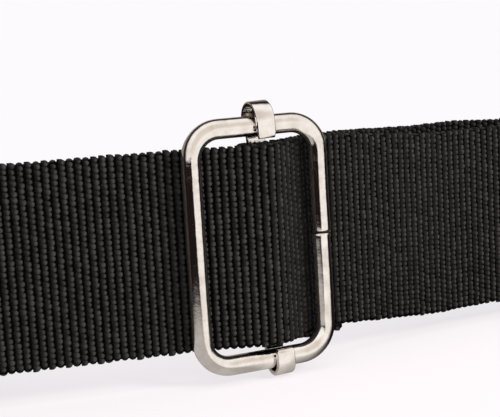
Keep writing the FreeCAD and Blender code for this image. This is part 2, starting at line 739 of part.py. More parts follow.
def main():
    os.makedirs("parts", exist_ok=True)
    parts = make_parts()
    for name, shape in parts.items():
        shape.exportStep(os.path.join("parts", name + ".step"))
        print(name, len(shape.Solids), "solids, valid", shape.isValid(), "volume %.0f" % shape.Volume)
    box = Part.makeCompound(list(parts.values())).BoundBox
    print("box from %.2f %.2f %.2f to %.2f %.2f %.2f" % (box.XMin, box.YMin, box.ZMin, box.XMax, box.YMax, box.ZMax))
    say("roll centre", roll_centre)
    say("male bar", male_bar)
    say("female bar", female_bar)
    say("male arm root", Vector(arm_root_x(), male_bar.y, ARM_INSET + ARM_WIDTH / 2))
    say("plug end", Vector(plug_root_x() + PLUG_LENGTH, male_bar.y, BUCKLE_WIDTH / 2))
    say("female mouth", Vector(female_mouth_x(), female_bar.y, BUCKLE_WIDTH / 2))


if __name__ == "__main__":
    main()
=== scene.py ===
"""Looks of the gait belt: woven webbing, a nickel wire slider, sewn ends and a side-release buckle.

Everything is in metres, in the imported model's own frame: X along the belt, Y to the back, Z up.
"""

from __future__ import annotations

import json
import logging
import math
import random
from dataclasses import dataclass, field
from enum import Enum

import bmesh
import bpy
from mathutils import Euler, Matrix, Vector

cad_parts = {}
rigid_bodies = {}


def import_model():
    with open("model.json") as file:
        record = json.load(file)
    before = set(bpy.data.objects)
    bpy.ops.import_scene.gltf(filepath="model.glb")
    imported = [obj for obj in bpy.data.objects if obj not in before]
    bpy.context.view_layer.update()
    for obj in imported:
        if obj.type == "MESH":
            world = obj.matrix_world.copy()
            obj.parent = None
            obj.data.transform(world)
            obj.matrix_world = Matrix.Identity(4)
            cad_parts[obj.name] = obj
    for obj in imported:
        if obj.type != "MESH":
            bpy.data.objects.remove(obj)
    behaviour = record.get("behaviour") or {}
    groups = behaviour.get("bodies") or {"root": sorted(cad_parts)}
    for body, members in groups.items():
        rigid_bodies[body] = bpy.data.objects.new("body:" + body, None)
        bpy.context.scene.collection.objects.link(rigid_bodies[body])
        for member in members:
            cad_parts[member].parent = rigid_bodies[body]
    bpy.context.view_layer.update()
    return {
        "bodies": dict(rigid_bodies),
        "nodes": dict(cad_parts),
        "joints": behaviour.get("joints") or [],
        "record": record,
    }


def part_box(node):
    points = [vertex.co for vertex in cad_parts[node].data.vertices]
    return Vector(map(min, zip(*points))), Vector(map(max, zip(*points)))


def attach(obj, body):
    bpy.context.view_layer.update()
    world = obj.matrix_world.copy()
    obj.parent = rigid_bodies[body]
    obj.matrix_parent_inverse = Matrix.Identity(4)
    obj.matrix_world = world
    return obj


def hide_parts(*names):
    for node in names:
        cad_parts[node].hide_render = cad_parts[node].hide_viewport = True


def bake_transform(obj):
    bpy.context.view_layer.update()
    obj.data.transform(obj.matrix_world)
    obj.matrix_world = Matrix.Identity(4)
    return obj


log = logging.getLogger("gait_belt")

MM = 0.001
BUMP_DEPTH = 0.05 * MM
PHOTO_WIDTH = 500


class Face(Enum):
    """Which side of the webbing a layer of weave covers, seen along its route."""

    RIGHT = -1
    LEFT = 1


class Edge(Enum):
    """Which long edge of the webbing a selvedge follows."""

    LOWER = -1
    UPPER = 1


# Small helpers


def linear(hex_colour: str) -> tuple[float, float, float, float]:
    """Turn an sRGB hex colour into linear red, green, blue and alpha.

    Args:
        hex_colour: Six hex digits with a leading hash.

    Returns:
        The colour in linear light, with an alpha of 1.
    """
    channels = [int(hex_colour[i:i + 2], 16) / 255 for i in (1, 3, 5)]
    curve = [c / 12.92 if c <= 0.04045 else ((c + 0.055) / 1.055) ** 2.4 for c in channels]
    return (curve[0], curve[1], curve[2], 1.0)


def add_node(tree: bpy.types.NodeTree, kind: str, inputs: dict | None = None, **settings) -> bpy.types.Node:
    """Add one node, set its properties and fill or link its inputs.

    Args:
        tree: The node tree that gets the node.
        kind: The node's type name.
        inputs: Socket name or number to a value, or to an output socket to link from.
        settings: Properties of the node.

    Returns:
        The new node.
    """
    node = tree.nodes.new(kind)
    for name, value in settings.items():
        setattr(node, name, value)
    for name, value in (inputs or {}).items():
        if isinstance(value, bpy.types.NodeSocket):
            tree.links.new(value, node.inputs[name])
        else:
            node.inputs[name].default_value = value
    return node


def new_object(name: str, mesh: bpy.types.Mesh) -> bpy.types.Object:
    """Put a mesh into the scene as an object at the origin."""
    made = bpy.data.objects.new(name, mesh)
    bpy.context.scene.collection.objects.link(made)
    return made


def mesh_from(name: str, points: list, faces: list, smooth: bool = True) -> bpy.types.Mesh:
    """Make a mesh with its normals pointing outwards.

    Args:
        name: The mesh's name.
        points: Corner places.
        faces: Lists of corner numbers.
        smooth: Whether the faces are shaded smooth.

    Returns:
        The new mesh.
    """
    mesh = bpy.data.meshes.new(name)
    mesh.from_pydata([tuple(p) for p in points], [], faces)
    shell = bmesh.new()
    shell.from_mesh(mesh)
    bmesh.ops.recalc_face_normals(shell, faces=shell.faces)
    shell.to_mesh(mesh)
    shell.free()
    mesh.polygons.foreach_set("use_smooth", [smooth] * len(mesh.polygons))
    mesh.update()
    return mesh


def ring_faces(rings: int, around: int, first: int = 0, capped: bool = True) -> list[list[int]]:
    """Faces of a tube whose rings follow each other in the list of points.

    Args:
        rings: How many rings there are.
        around: How many points each ring has.
        first: The number of the first point.
        capped: Whether both ends are closed.

    Returns:
        Lists of corner numbers.
    """
    faces = []
    for i in range(rings - 1):
        for j in range(around):
            a = first + i * around + j
            b = first + i * around + (j + 1) % around
            faces.append([a, b, b + around, a + around])
    if capped:
        faces.append([first + j for j in range(around)][::-1])
        faces.append([first + (rings - 1) * around + j for j in range(around)])
    return faces


# Finishes


@dataclass(frozen=True)
class WovenPolypropylene:
    """Black multifilament webbing with light and shade painted on each hump: painted shade near black at its
    foot and a painted highlight in duller grey on its crest.
    """

    name: str = "woven_polypropylene"
    painted_shade_colour: str = "#030303"
    painted_half_shade_colour: str = "#111010"
    painted_highlight_colour: str = "#403e3d"
    roughness: float = 0.48
    specular: float = 0.22
    filament_mm: float = 0.16
    mottle_mm: float = 2.4
    bump: float = 0.35
    sheen: float = 0.06

    def build(self) -> bpy.types.Material:
        """Make the material.

        Returns:
            The finished material.
        """
        material, tree, shader = start_material(self.name)
        place = add_node(tree, "ShaderNodeTexCoord").outputs["Object"]
        yarn = add_node(tree, "ShaderNodeTexNoise", {
            "Vector": place, "Scale": 1 / (self.filament_mm * MM), "Detail": 2.0, "Roughness": 0.6})
        mottle = add_node(tree, "ShaderNodeTexNoise", {
            "Vector": place, "Scale": 1 / (self.mottle_mm * MM), "Detail": 3.0})
        # The "lift" attribute is painted light: low at a hump's foot and sides for painted shade, high on its
        # crest for a painted highlight.
        lift = add_node(tree, "ShaderNodeAttribute", attribute_name="lift").outputs["Fac"]
        stain = add_node(tree, "ShaderNodeMapRange", {
            "Value": mottle.outputs["Fac"], "From Min": 0.3, "From Max": 0.7, "To Min": 0.78, "To Max": 1.15})
        shade = add_node(tree, "ShaderNodeMath", {0: lift, 1: stain.outputs["Result"]}, operation="MULTIPLY")
        # Painted light ramp: painted shade at the foot, a half-shaded flank, a painted highlight on the
        # crest; the random mottle only varies it.
        ramp = add_node(tree, "ShaderNodeValToRGB", {"Fac": shade.outputs["Value"]})
        ramp.color_ramp.elements[0].color = linear(self.painted_shade_colour)
        ramp.color_ramp.elements[0].position = 0.1
        ramp.color_ramp.elements[1].color = linear(self.painted_highlight_colour)
        middle = ramp.color_ramp.elements.new(0.55)
        middle.color = linear(self.painted_half_shade_colour)
        bump = add_node(tree, "ShaderNodeBump", {
            "Height": yarn.outputs["Fac"], "Strength": self.bump, "Distance": BUMP_DEPTH})
        tree.links.new(ramp.outputs["Color"], shader.inputs["Base Color"])
        tree.links.new(bump.outputs["Normal"], shader.inputs["Normal"])
        shader.inputs["Roughness"].default_value = self.roughness
        shader.inputs["Specular IOR Level"].default_value = self.specular
        shader.inputs["Sheen Weight"].default_value = self.sheen
        shader.inputs["Sheen Roughness"].default_value = 0.4
        return material


@dataclass(frozen=True)
class WeaveGround:
    """The ground between the humps of the weave, almost black: painted shade for the shade that falls between
    the humps.
    """

    name: str = "weave_ground"
    # Painted shade: near black because this ground lies in shade between the humps.
    colour: str = "#050404"
    shade_colour: str = "#010101"
    fuzz_mm: float = 0.3
    roughness: float = 0.95
    specular: float = 0.1

    def build(self) -> bpy.types.Material:
        """Make the material.

        Returns:
            The finished material.
        """
        material, tree, shader = start_material(self.name)
        place = add_node(tree, "ShaderNodeTexCoord").outputs["Object"]
        fuzz = add_node(tree, "ShaderNodeTexNoise", {
            "Vector": place, "Scale": 1 / (self.fuzz_mm * MM), "Detail": 2.0})
        shade = add_node(tree, "ShaderNodeMix", {
            "Factor": fuzz.outputs["Fac"], "A": linear(self.shade_colour), "B": linear(self.colour)},
            data_type="RGBA")
        tree.links.new(shade.outputs["Result"], shader.inputs["Base Color"])
        shader.inputs["Roughness"].default_value = self.roughness
        shader.inputs["Specular IOR Level"].default_value = self.specular
        return material


@dataclass(frozen=True)
class NickelPlate:
    """Bright nickel on steel: mirror-like with a warm tint, tiny pits and faint rubbed haze."""

    name: str = "nickel_plate"
    colour: str = "#fbf7f2"
    haze_colour: str = "#e2dad2"
    roughness: float = 0.07
    haze: float = 0.08
    pit_mm: float = 0.35
    wave_mm: float = 3.0
    bump: float = 0.26

    def build(self) -> bpy.types.Material:
        """Make the material.

        Returns:
            The finished material.
        """
        material, tree, shader = start_material(self.name)
        place = add_node(tree, "ShaderNodeTexCoord").outputs["Object"]
        wave = add_node(tree, "ShaderNodeTexNoise", {
            "Vector": place, "Scale": 1 / (self.wave_mm * MM), "Detail": 4.0})
        pits = add_node(tree, "ShaderNodeTexNoise", {
            "Vector": place, "Scale": 1 / (self.pit_mm * MM), "Detail": 3.0, "Roughness": 0.65})
        patch = add_node(tree, "ShaderNodeMapRange", {
            "Value": wave.outputs["Fac"], "From Min": 0.35, "From Max": 0.75})
        tint = add_node(tree, "ShaderNodeMix", {
            "Factor": patch.outputs["Result"], "A": linear(self.colour), "B": linear(self.haze_colour)},
            data_type="RGBA")
        rough = add_node(tree, "ShaderNodeMath", {0: pits.outputs["Fac"], 1: self.haze},
                         operation="MULTIPLY_ADD")
        rough.inputs[2].default_value = self.roughness - self.haze / 2
        height = add_node(tree, "ShaderNodeMath", {0: pits.outputs["Fac"], 1: 0.25}, operation="MULTIPLY_ADD")
        tree.links.new(wave.outputs["Fac"], height.inputs[2])
        bump = add_node(tree, "ShaderNodeBump", {
            "Height": height.outputs["Value"], "Strength": self.bump, "Distance": 0.25 * MM})
        tree.links.new(tint.outputs["Result"], shader.inputs["Base Color"])
        tree.links.new(rough.outputs["Value"], shader.inputs["Roughness"])
        tree.links.new(bump.outputs["Normal"], shader.inputs["Normal"])
        shader.inputs["Metallic"].default_value = 1.0
        return material


@dataclass(frozen=True)
class MouldedAcetal:
    """Black acetal from a spark-eroded mould: satin, with a fine even grain."""

    name: str = "moulded_acetal"
    colour: str = "#161617"
    worn_colour: str = "#232324"
    roughness: float = 0.42
    grain_mm: float = 0.25
    bump: float = 0.3

    def build(self) -> bpy.types.Material:
        """Make the material.

        Returns:
            The finished material.
        """
        material, tree, shader = start_material(self.name)
        place = add_node(tree, "ShaderNodeTexCoord").outputs["Object"]
        grain = add_node(tree, "ShaderNodeTexNoise", {
            "Vector": place, "Scale": 1 / (self.grain_mm * MM), "Detail": 2.0})
        cloud = add_node(tree, "ShaderNodeTexNoise", {"Vector": place, "Scale": 1 / (9 * MM), "Detail": 3.0})
        shade = add_node(tree, "ShaderNodeMix", {
            "Factor": cloud.outputs["Fac"], "A": linear(self.colour), "B": linear(self.worn_colour)},
            data_type="RGBA")
        rough = add_node(tree, "ShaderNodeMath", {0: cloud.outputs["Fac"], 1: 0.2}, operation="MULTIPLY_ADD")
        rough.inputs[2].default_value = self.roughness - 0.1
        bump = add_node(tree, "ShaderNodeBump", {
            "Height": grain.outputs["Fac"], "Strength": self.bump, "Distance": BUMP_DEPTH})
        tree.links.new(shade.outputs["Result"], shader.inputs["Base Color"])
        tree.links.new(rough.outputs["Value"], shader.inputs["Roughness"])
        tree.links.new(bump.outputs["Normal"], shader.inputs["Normal"])
        return material


@dataclass(frozen=True)
class BondedThread:
    """Black bonded polyester thread: tight and slightly glossy, paler than the webbing."""

    name: str = "bonded_thread"
    colour: str = "#2c2b2c"
    groove_colour: str = "#1d1c1d"
    roughness: float = 0.4
    twist_mm: float = 0.35
    bands_per_twist: int = 6
    bump: float = 0.4

    def build(self) -> bpy.types.Material:
        """Make the material.

        Returns:
            The finished material.
        """
        material, tree, shader = start_material(self.name)
        place = add_node(tree, "ShaderNodeTexCoord").outputs["Object"]
        twist = add_node(tree, "ShaderNodeTexWave", {
            "Vector": place, "Scale": 1 / (self.twist_mm * MM) / self.bands_per_twist, "Distortion": 1.0},
            bands_direction="DIAGONAL")
        bump = add_node(tree, "ShaderNodeBump", {
            "Height": twist.outputs["Fac"], "Strength": self.bump, "Distance": BUMP_DEPTH})
        shade = add_node(tree, "ShaderNodeMix", {
            "Factor": twist.outputs["Fac"], "A": linear(self.colour), "B": linear(self.groove_colour)},
            data_type="RGBA")
        tree.links.new(shade.outputs["Result"], shader.inputs["Base Color"])
        tree.links.new(bump.outputs["Normal"], shader.inputs["Normal"])
        shader.inputs["Roughness"].default_value = self.roughness
        return material


def start_material(name: str) -> tuple[bpy.types.Material, bpy.types.NodeTree, bpy.types.Node]:
    """Make an empty material with one Principled shader.

    Args:
        name: The material's name.

    Returns:
        The material, its node tree and the shader node.
    """
    material = bpy.data.materials.new(name)
    material.use_nodes = True
    tree = material.node_tree
    tree.nodes.clear()
    shader = add_node(tree, "ShaderNodeBsdfPrincipled")
    add_node(tree, "ShaderNodeOutputMaterial", {"Surface": shader.outputs["BSDF"]})
    return material, tree, shader


@dataclass(frozen=True)
class Finishes:
    """The belt's finished materials."""

    webbing: bpy.types.Material
    ground: bpy.types.Material
    nickel: bpy.types.Material
    plastic: bpy.types.Material
    thread: bpy.types.Material


def make_finishes() -> Finishes:
    """Build each material once."""
    return Finishes(
        webbing=WovenPolypropylene().build(),
        ground=WeaveGround().build(),
        nickel=NickelPlate().build(),
        plastic=MouldedAcetal().build(),
        thread=BondedThread().build(),
    )


# Routes of the webbing in the plan


@dataclass(frozen=True)
class Run:
    """A straight stretch of webbing. Its points lie on the webbing's lower edge, mid-thickness."""

    start: Vector
    end: Vector

    @property
    def length(self) -> float:
        """Length in the plan."""
        return (self.end.xy - self.start.xy).length

    def at(self, distance: float) -> tuple[Vector, Vector]:
        """Place and heading at a distance along the run."""
        part = distance / self.length
        way = (self.end.xy - self.start.xy).normalized()
        return self.start.lerp(self.end, part), Vector((way.x, way.y, 0))


@dataclass(frozen=True)
class Bend:
    """A level arc of webbing round an upright axis."""

    centre: Vector
    radius: float
    start: float
    sweep: float
    height: float

    @property
    def length(self) -> float:
        """Length in the plan."""
        return abs(self.radius * self.sweep)

    def at(self, distance: float) -> tuple[Vector, Vector]:
        """Place and heading at a distance along the arc."""
        angle = self.start + self.sweep * distance / self.length
        out = Vector((math.cos(angle), math.sin(angle), 0))
        place = Vector((self.centre.x, self.centre.y, self.height)) + out * self.radius
        side = 1 if self.sweep > 0 else -1
        return place, Vector((-out.y * side, out.x * side, 0))


@dataclass
class Route:
    """Straight runs and bends, one after the other."""

    pieces: list

    @property
    def length(self) -> float:
        """Length of the whole route in the plan."""
        return sum(piece.length for piece in self.pieces)

    def at(self, distance: float) -> tuple[Vector, Vector]:
        """Place and heading at a distance along the route."""
        left = min(max(distance, 0.0), self.length)
        for piece in self.pieces[:-1]:
            if left <= piece.length:
                return piece.at(left)
            left -= piece.length
        return self.pieces[-1].at(min(left, self.pieces[-1].length))

    def stations(self, step: float) -> list[float]:
        """Distances no further apart than a step, with each piece's ends among them."""
        places = [0.0]
        for piece in self.pieces:
            count = max(1, math.ceil(piece.length / step))
            places += spread(places[-1], piece.length, count)
        return places


def spread(first: float, length: float, count: int) -> list[float]:
    """Evenly spaced distances after a first one, up to and with the end of a length."""
    return [first + length * (i + 1) / count for i in range(count)]


def heading(degrees: float) -> Vector:
    """Unit vector in the plan, measured from +X towards +Y."""
    return Vector((math.cos(math.radians(degrees)), math.sin(math.radians(degrees)), 0))


def left_of(way: Vector) -> Vector:
    """Unit vector in the plan, a quarter turn to the left of a heading."""
    return Vector((-way.y, way.x, 0))


def crossing(p: Vector, u: Vector, q: Vector, v: Vector) -> Vector:
    """Point where the plan line through p along u meets the one through q along v."""
    along = ((q.x - p.x) * v.y - (q.y - p.y) * v.x) / (u.x * v.y - u.y * v.x)
    return p + u * along


def rounded_route(corners: list[tuple[Vector, float]]) -> Route:
    """Turn corners with a radius each into straight runs and tangent arcs.

    Args:
        corners: Point and radius of each corner; the first and last are the ends.

    Returns:
        The route.
    """
    pieces: list = []
    here = corners[0][0]
    for (before, _), (corner, radius), (after, _) in zip(corners, corners[1:], corners[2:]):
        way_in = (corner.xy - before.xy).normalized()
        way_out = (after.xy - corner.xy).normalized()
        turn = math.atan2(way_in.x * way_out.y - way_in.y * way_out.x, way_in.dot(way_out))
        setback = radius * math.tan(abs(turn) / 2)
        start = corner - way_in.to_3d() * setback
        side = 1 if turn > 0 else -1
        centre = start + left_of(way_in) * (side * radius)
        angle = math.atan2(start.y - centre.y, start.x - centre.x)
        pieces.append(Run(here, start))
        pieces.append(Bend(centre, radius, angle, turn, corner.z))
        here = corner + way_out.to_3d() * setback
    pieces.append(Run(here, corners[-1][0]))
    return Route(pieces)


def lifted(point: Vector, height: float) -> Vector:
    """The same place in the plan at another height."""
    return Vector((point.x, point.y, height))


@dataclass
class BeltLayout:
    """Where the webbing runs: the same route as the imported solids, worked out from the frame."""

    web_width: float = 50.0 * MM
    web_thick: float = 1.9 * MM
    layer_gap: float = 0.2 * MM
    left_angle: float = 10.5
    right_angle: float = 9.0
    back_run_angle: float = 19.0
    crest: float = 2.8 * MM
    crest_radius: float = 8.0 * MM
    soft_radius: float = 8.0 * MM
    wire_web_gap: float = 0.35 * MM
    left_bend_past_wire: float = 1.5 * MM
    right_bend_past_wire: float = 1.9 * MM
    right_bend_back: float = 6.5 * MM
    pass_left_length: float = 8.0 * MM
    pass_right_length: float = 6.0 * MM
    bar_wire_gap: float = 0.3 * MM
    bar_web_gap: float = 0.15 * MM
    bar_tilt: float = 2.0
    bar_width: float = 4.8 * MM
    bar_thick: float = 1.2 * MM
    bar_offset: float = 2.7 * MM
    tail_length: float = 8.5 * MM
    tail_drop: float = 2.3 * MM
    left_level_length: float = 40.0 * MM
    left_slope_length: float = 42.0 * MM
    run_bend_x: float = 66.0 * MM
    run_bend_radius: float = 120.0 * MM
    run_end_length: float = 6.0 * MM
    front_run_drop: float = 3.15 * MM
    back_run_drop: float = 1.6 * MM
    roll_core_radius: float = 6.0 * MM
    roll_gap: float = 0.5 * MM
    roll_half_turns: int = 7
    turn_length: float = 12.0 * MM
    female_rise_length: float = 34.0 * MM
    female_bend_radius: float = 60.0 * MM
    female_level_length: float = 10.0 * MM
    female_overlap: float = 38.0 * MM
    turn_radius: float = 3.75 * MM
    turn_straight: float = 3.0 * MM
    tail_end_gap: float = 0.3 * MM

    def __post_init__(self) -> None:
        """Read the slider's and the buckle's places from the frame and work out the rest."""
        low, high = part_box("slider_frame")
        self.wire_radius = (high.y - low.y) / 2
        self.half_width = (high.x - low.x) / 2 - self.wire_radius
        self.low_wire = low.z + self.wire_radius
        self.top_wire = high.z - self.wire_radius
        self.web_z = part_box("webbing_slider_pass")[0].z
        self.buckle_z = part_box("webbing_male_turn")[0].z
        male_low, male_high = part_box("webbing_male_turn")
        self.male_bar = Vector((male_low.x + self.turn_length, (male_low.y + male_high.y) / 2, 0))
        self.bar_y = self.wire_radius + self.bar_wire_gap + self.bar_thick / 2
        self.layer_step = self.web_thick + self.layer_gap
        self.left_way = heading(-self.left_angle)
        self.right_way = heading(self.right_angle)
        left_wire = Vector((-self.half_width, 0, 0))
        off_wire = self.wire_radius + self.wire_web_gap + self.web_thick / 2
        beside_wire = left_wire + left_of(self.left_way) * off_wire
        self.left_bend = beside_wire + self.left_way * self.left_bend_past_wire
        self.crest_point = Vector((self.bar_offset, -self.crest, 0))
        self.right_bend = Vector((self.half_width + self.right_bend_past_wire, self.right_bend_back, 0))
        self.pass_start = self.left_bend - self.left_way * self.pass_left_length
        self.pass_end = self.right_bend + self.right_way * self.pass_right_length
        self.climb = (self.right_bend - self.crest_point).normalized()
        tilt_room = self.web_width / 2 * math.sin(math.radians(self.bar_tilt))
        self.nose_radius = self.bar_thick / 2 + self.bar_web_gap + self.web_thick / 2
        self.nose_centre = Vector((self.bar_offset - self.bar_width / 2 - tilt_room, self.bar_y, 0))
        step = left_of(self.climb) * self.layer_step
        side = left_of(self.right_way) * self.layer_step
        along_x = Vector((1, 0, 0))
        front_y = Vector((0, self.bar_y - self.nose_radius, 0))
        back_y = Vector((0, self.bar_y + self.nose_radius, 0))
        self.tail_corner = crossing(front_y, along_x, self.crest_point + step, self.climb)
        self.long_corner = crossing(back_y, along_x, self.crest_point + step * 2, self.climb)
        self.tail_bend = crossing(self.crest_point + step, self.climb, self.right_bend + side, self.right_way)
        self.long_bend = crossing(
            self.crest_point + step * 2, self.climb, self.right_bend + side * 2, self.right_way)
        self.long_end = self.long_bend + self.right_way * self.pass_right_length
        self.level_end = self.pass_start - self.left_way * self.left_level_length
        self.roll_entry = self.level_end - self.left_way * self.left_slope_length
        self.roll_pitch = self.web_thick + self.roll_gap
        reach = 2 * self.roll_core_radius + self.roll_half_turns * self.roll_pitch
        self.roll_centre = self.roll_entry + left_of(self.left_way) * reach
        self.roll_exit = self.roll_centre + left_of(self.left_way) * reach
        bend = self.roll_exit - self.left_way * self.female_rise_length
        self.female_bend = bend
        self.female_start = lifted(bend, self.buckle_z) - along_x * self.female_level_length
        self.female_bar = Vector((self.female_start.x - self.female_overlap,
                                  self.female_start.y + self.turn_radius, 0))

    def slider_pass(self) -> Route:
        """Behind the left wire, over the bar and behind the right wire."""
        return rounded_route([
            (lifted(self.pass_start, self.web_z), 0),
            (lifted(self.left_bend, self.web_z), self.soft_radius),
            (lifted(self.crest_point, self.web_z), self.crest_radius),
            (lifted(self.right_bend, self.web_z), self.soft_radius),
            (lifted(self.pass_end, self.web_z), 0),
        ])

    def bar_loop(self) -> Route:
        """Round the bar: the short tail in front, the nose, and the long layer behind."""
        tail_end = self.tail_bend + self.right_way * self.tail_length
        tail = rounded_route([
            (lifted(tail_end, self.web_z - self.tail_drop), 0),
            (lifted(self.tail_bend, self.web_z - self.tail_drop), self.soft_radius),
            (lifted(self.tail_corner, self.web_z), self.soft_radius / 4),
            (Vector((self.nose_centre.x, self.tail_corner.y, self.web_z)), 0),
        ])
        nose = Bend(self.nose_centre, self.nose_radius, -math.pi / 2, -math.pi, self.web_z)
        long_layer = rounded_route([
            (Vector((self.nose_centre.x, self.long_corner.y, self.web_z)), 0),
            (lifted(self.long_corner, self.web_z), self.soft_radius / 4),
            (lifted(self.long_bend, self.web_z), self.soft_radius),
            (lifted(self.long_end, self.web_z), 0),
        ])
        return Route(tail.pieces + [nose] + long_layer.pieces)

    def left_run(self) -> Route:
        """From the roll's entry up to the slider."""
        return Route([
            Run(lifted(self.roll_entry, 0), lifted(self.level_end, self.web_z)),
            Run(lifted(self.level_end, self.web_z), lifted(self.pass_start, self.web_z)),
        ])

    def front_run(self) -> Route:
        """The layer nearer the front, from the slider to the plug."""
        slope = math.tan(math.radians(self.right_angle))
        bend_y = self.pass_end.y + (self.run_bend_x - self.pass_end.x) * slope
        end = self.male_bar + Vector((-self.turn_length, -self.turn_radius, self.buckle_z))
        return rounded_route([
            (lifted(self.pass_end, self.web_z), 0),
            (Vector((self.run_bend_x, bend_y, self.web_z - self.front_run_drop)), self.run_bend_radius),
            (end - Vector((self.run_end_length, 0, 0)), self.run_bend_radius / 3),
            (end, 0),
        ])

    def back_run(self) -> Route:
        """The layer further back, from the sewn loop to the plug."""
        spread_bend = self.long_end + self.right_way * self.pass_right_length
        way = heading(self.back_run_angle)
        far_bend = spread_bend + way * ((self.run_bend_x - spread_bend.x) / way.x)
        end = self.male_bar + Vector((-self.turn_length, self.turn_radius, self.buckle_z))
        return rounded_route([
            (lifted(self.long_end, self.web_z), 0),
            (lifted(spread_bend, self.web_z), self.run_bend_radius / 4),
            (lifted(far_bend, self.web_z - self.back_run_drop), self.run_bend_radius / 3),
            (end - Vector((self.run_end_length, 0, 0)), self.run_bend_radius / 3),
            (end, 0),
        ])

    def male_turn(self) -> Route:
        """Round the plug's web bar."""
        front = self.male_bar + Vector((-self.turn_length, -self.turn_radius, self.buckle_z))
        back = self.male_bar + Vector((-self.turn_length, self.turn_radius, self.buckle_z))
        along = Vector((self.turn_length, 0, 0))
        return Route([
            Run(front, front + along),
            Bend(self.male_bar, self.turn_radius, -math.pi / 2, math.pi, self.buckle_z),
            Run(back + along, back),
        ])

    def female_run(self) -> Route:
        """From the roll's exit up to the doubled end."""
        return rounded_route([
            (lifted(self.roll_exit, 0), 0),
            (lifted(self.female_bend, self.buckle_z), self.female_bend_radius),
            (self.female_start, 0),
        ])

    def female_turn(self) -> Route:
        """Round the socket's web bar and back along itself."""
        back_y = self.female_bar.y + self.turn_radius
        tail_y = self.female_start.y + self.layer_step
        near = Vector((self.female_bar.x, self.female_start.y, self.buckle_z))
        back = rounded_route([
            (Vector((self.female_bar.x, back_y, self.buckle_z)), 0),
            (Vector((self.female_bar.x + self.turn_straight, back_y, self.buckle_z)), self.soft_radius / 2),
            (Vector((self.female_bar.x + self.turn_length, tail_y, self.buckle_z)), self.soft_radius / 2),
            (Vector((self.female_start.x - self.tail_end_gap, tail_y, self.buckle_z)), 0),
        ])
        turn = Bend(self.female_bar, self.turn_radius, -math.pi / 2, -math.pi, self.buckle_z)
        return Route([Run(self.female_start, near), turn] + back.pieces)

    def roll_arm(self, side: float) -> Route:
        """One arm of the double spiral, from its middle outwards.

        Args:
            side: Angle by which the arm is turned: 0 for the arm towards the slider, pi for the other.
        """
        axis = math.atan2(self.left_way.y, self.left_way.x) + math.pi / 2 + side
        turned = Vector((math.cos(axis), math.sin(axis), 0))
        core = self.roll_core_radius
        arm: list = [Bend(self.roll_centre + turned * core, core, axis + math.pi, math.pi, 0)]
        for k in range(1, self.roll_half_turns + 1):
            outward = 1 if k % 2 == 0 else -1
            centre = self.roll_centre + turned * (outward * self.roll_pitch / 2)
            radius = 2 * core + (k - 0.5) * self.roll_pitch
            start = axis + (math.pi if outward > 0 else 0)
            arm.append(Bend(centre, radius, start, math.pi, 0))
        return Route(arm)


# Woven webbing


@dataclass(frozen=True)
class Weave:
    """Sizes of the ribbed weave: ribs across the belt, each a stack of yarn humps."""

    rib_pitch: float = 1.92 * MM
    hump_pitch: float = 1.34 * MM
    hump_length: float = 1.72 * MM
    hump_width: float = 1.52 * MM
    hump_height: float = 0.55 * MM
    core_thick: float = 0.86 * MM
    edge_inset: float = 0.5 * MM
    edge_height: float = 0.62 * MM
    edge_width: float = 1.8 * MM
    size_spread: float = 0.09
    turn_spread: float = 0.06
    grades: tuple[float, ...] = (1.04, 1.0, 0.93)


@dataclass(frozen=True)
class Hump:
    """One hump of yarn, on a face or on an edge."""

    spot: Vector
    turn: Euler
    grade: float
    on_edge: bool


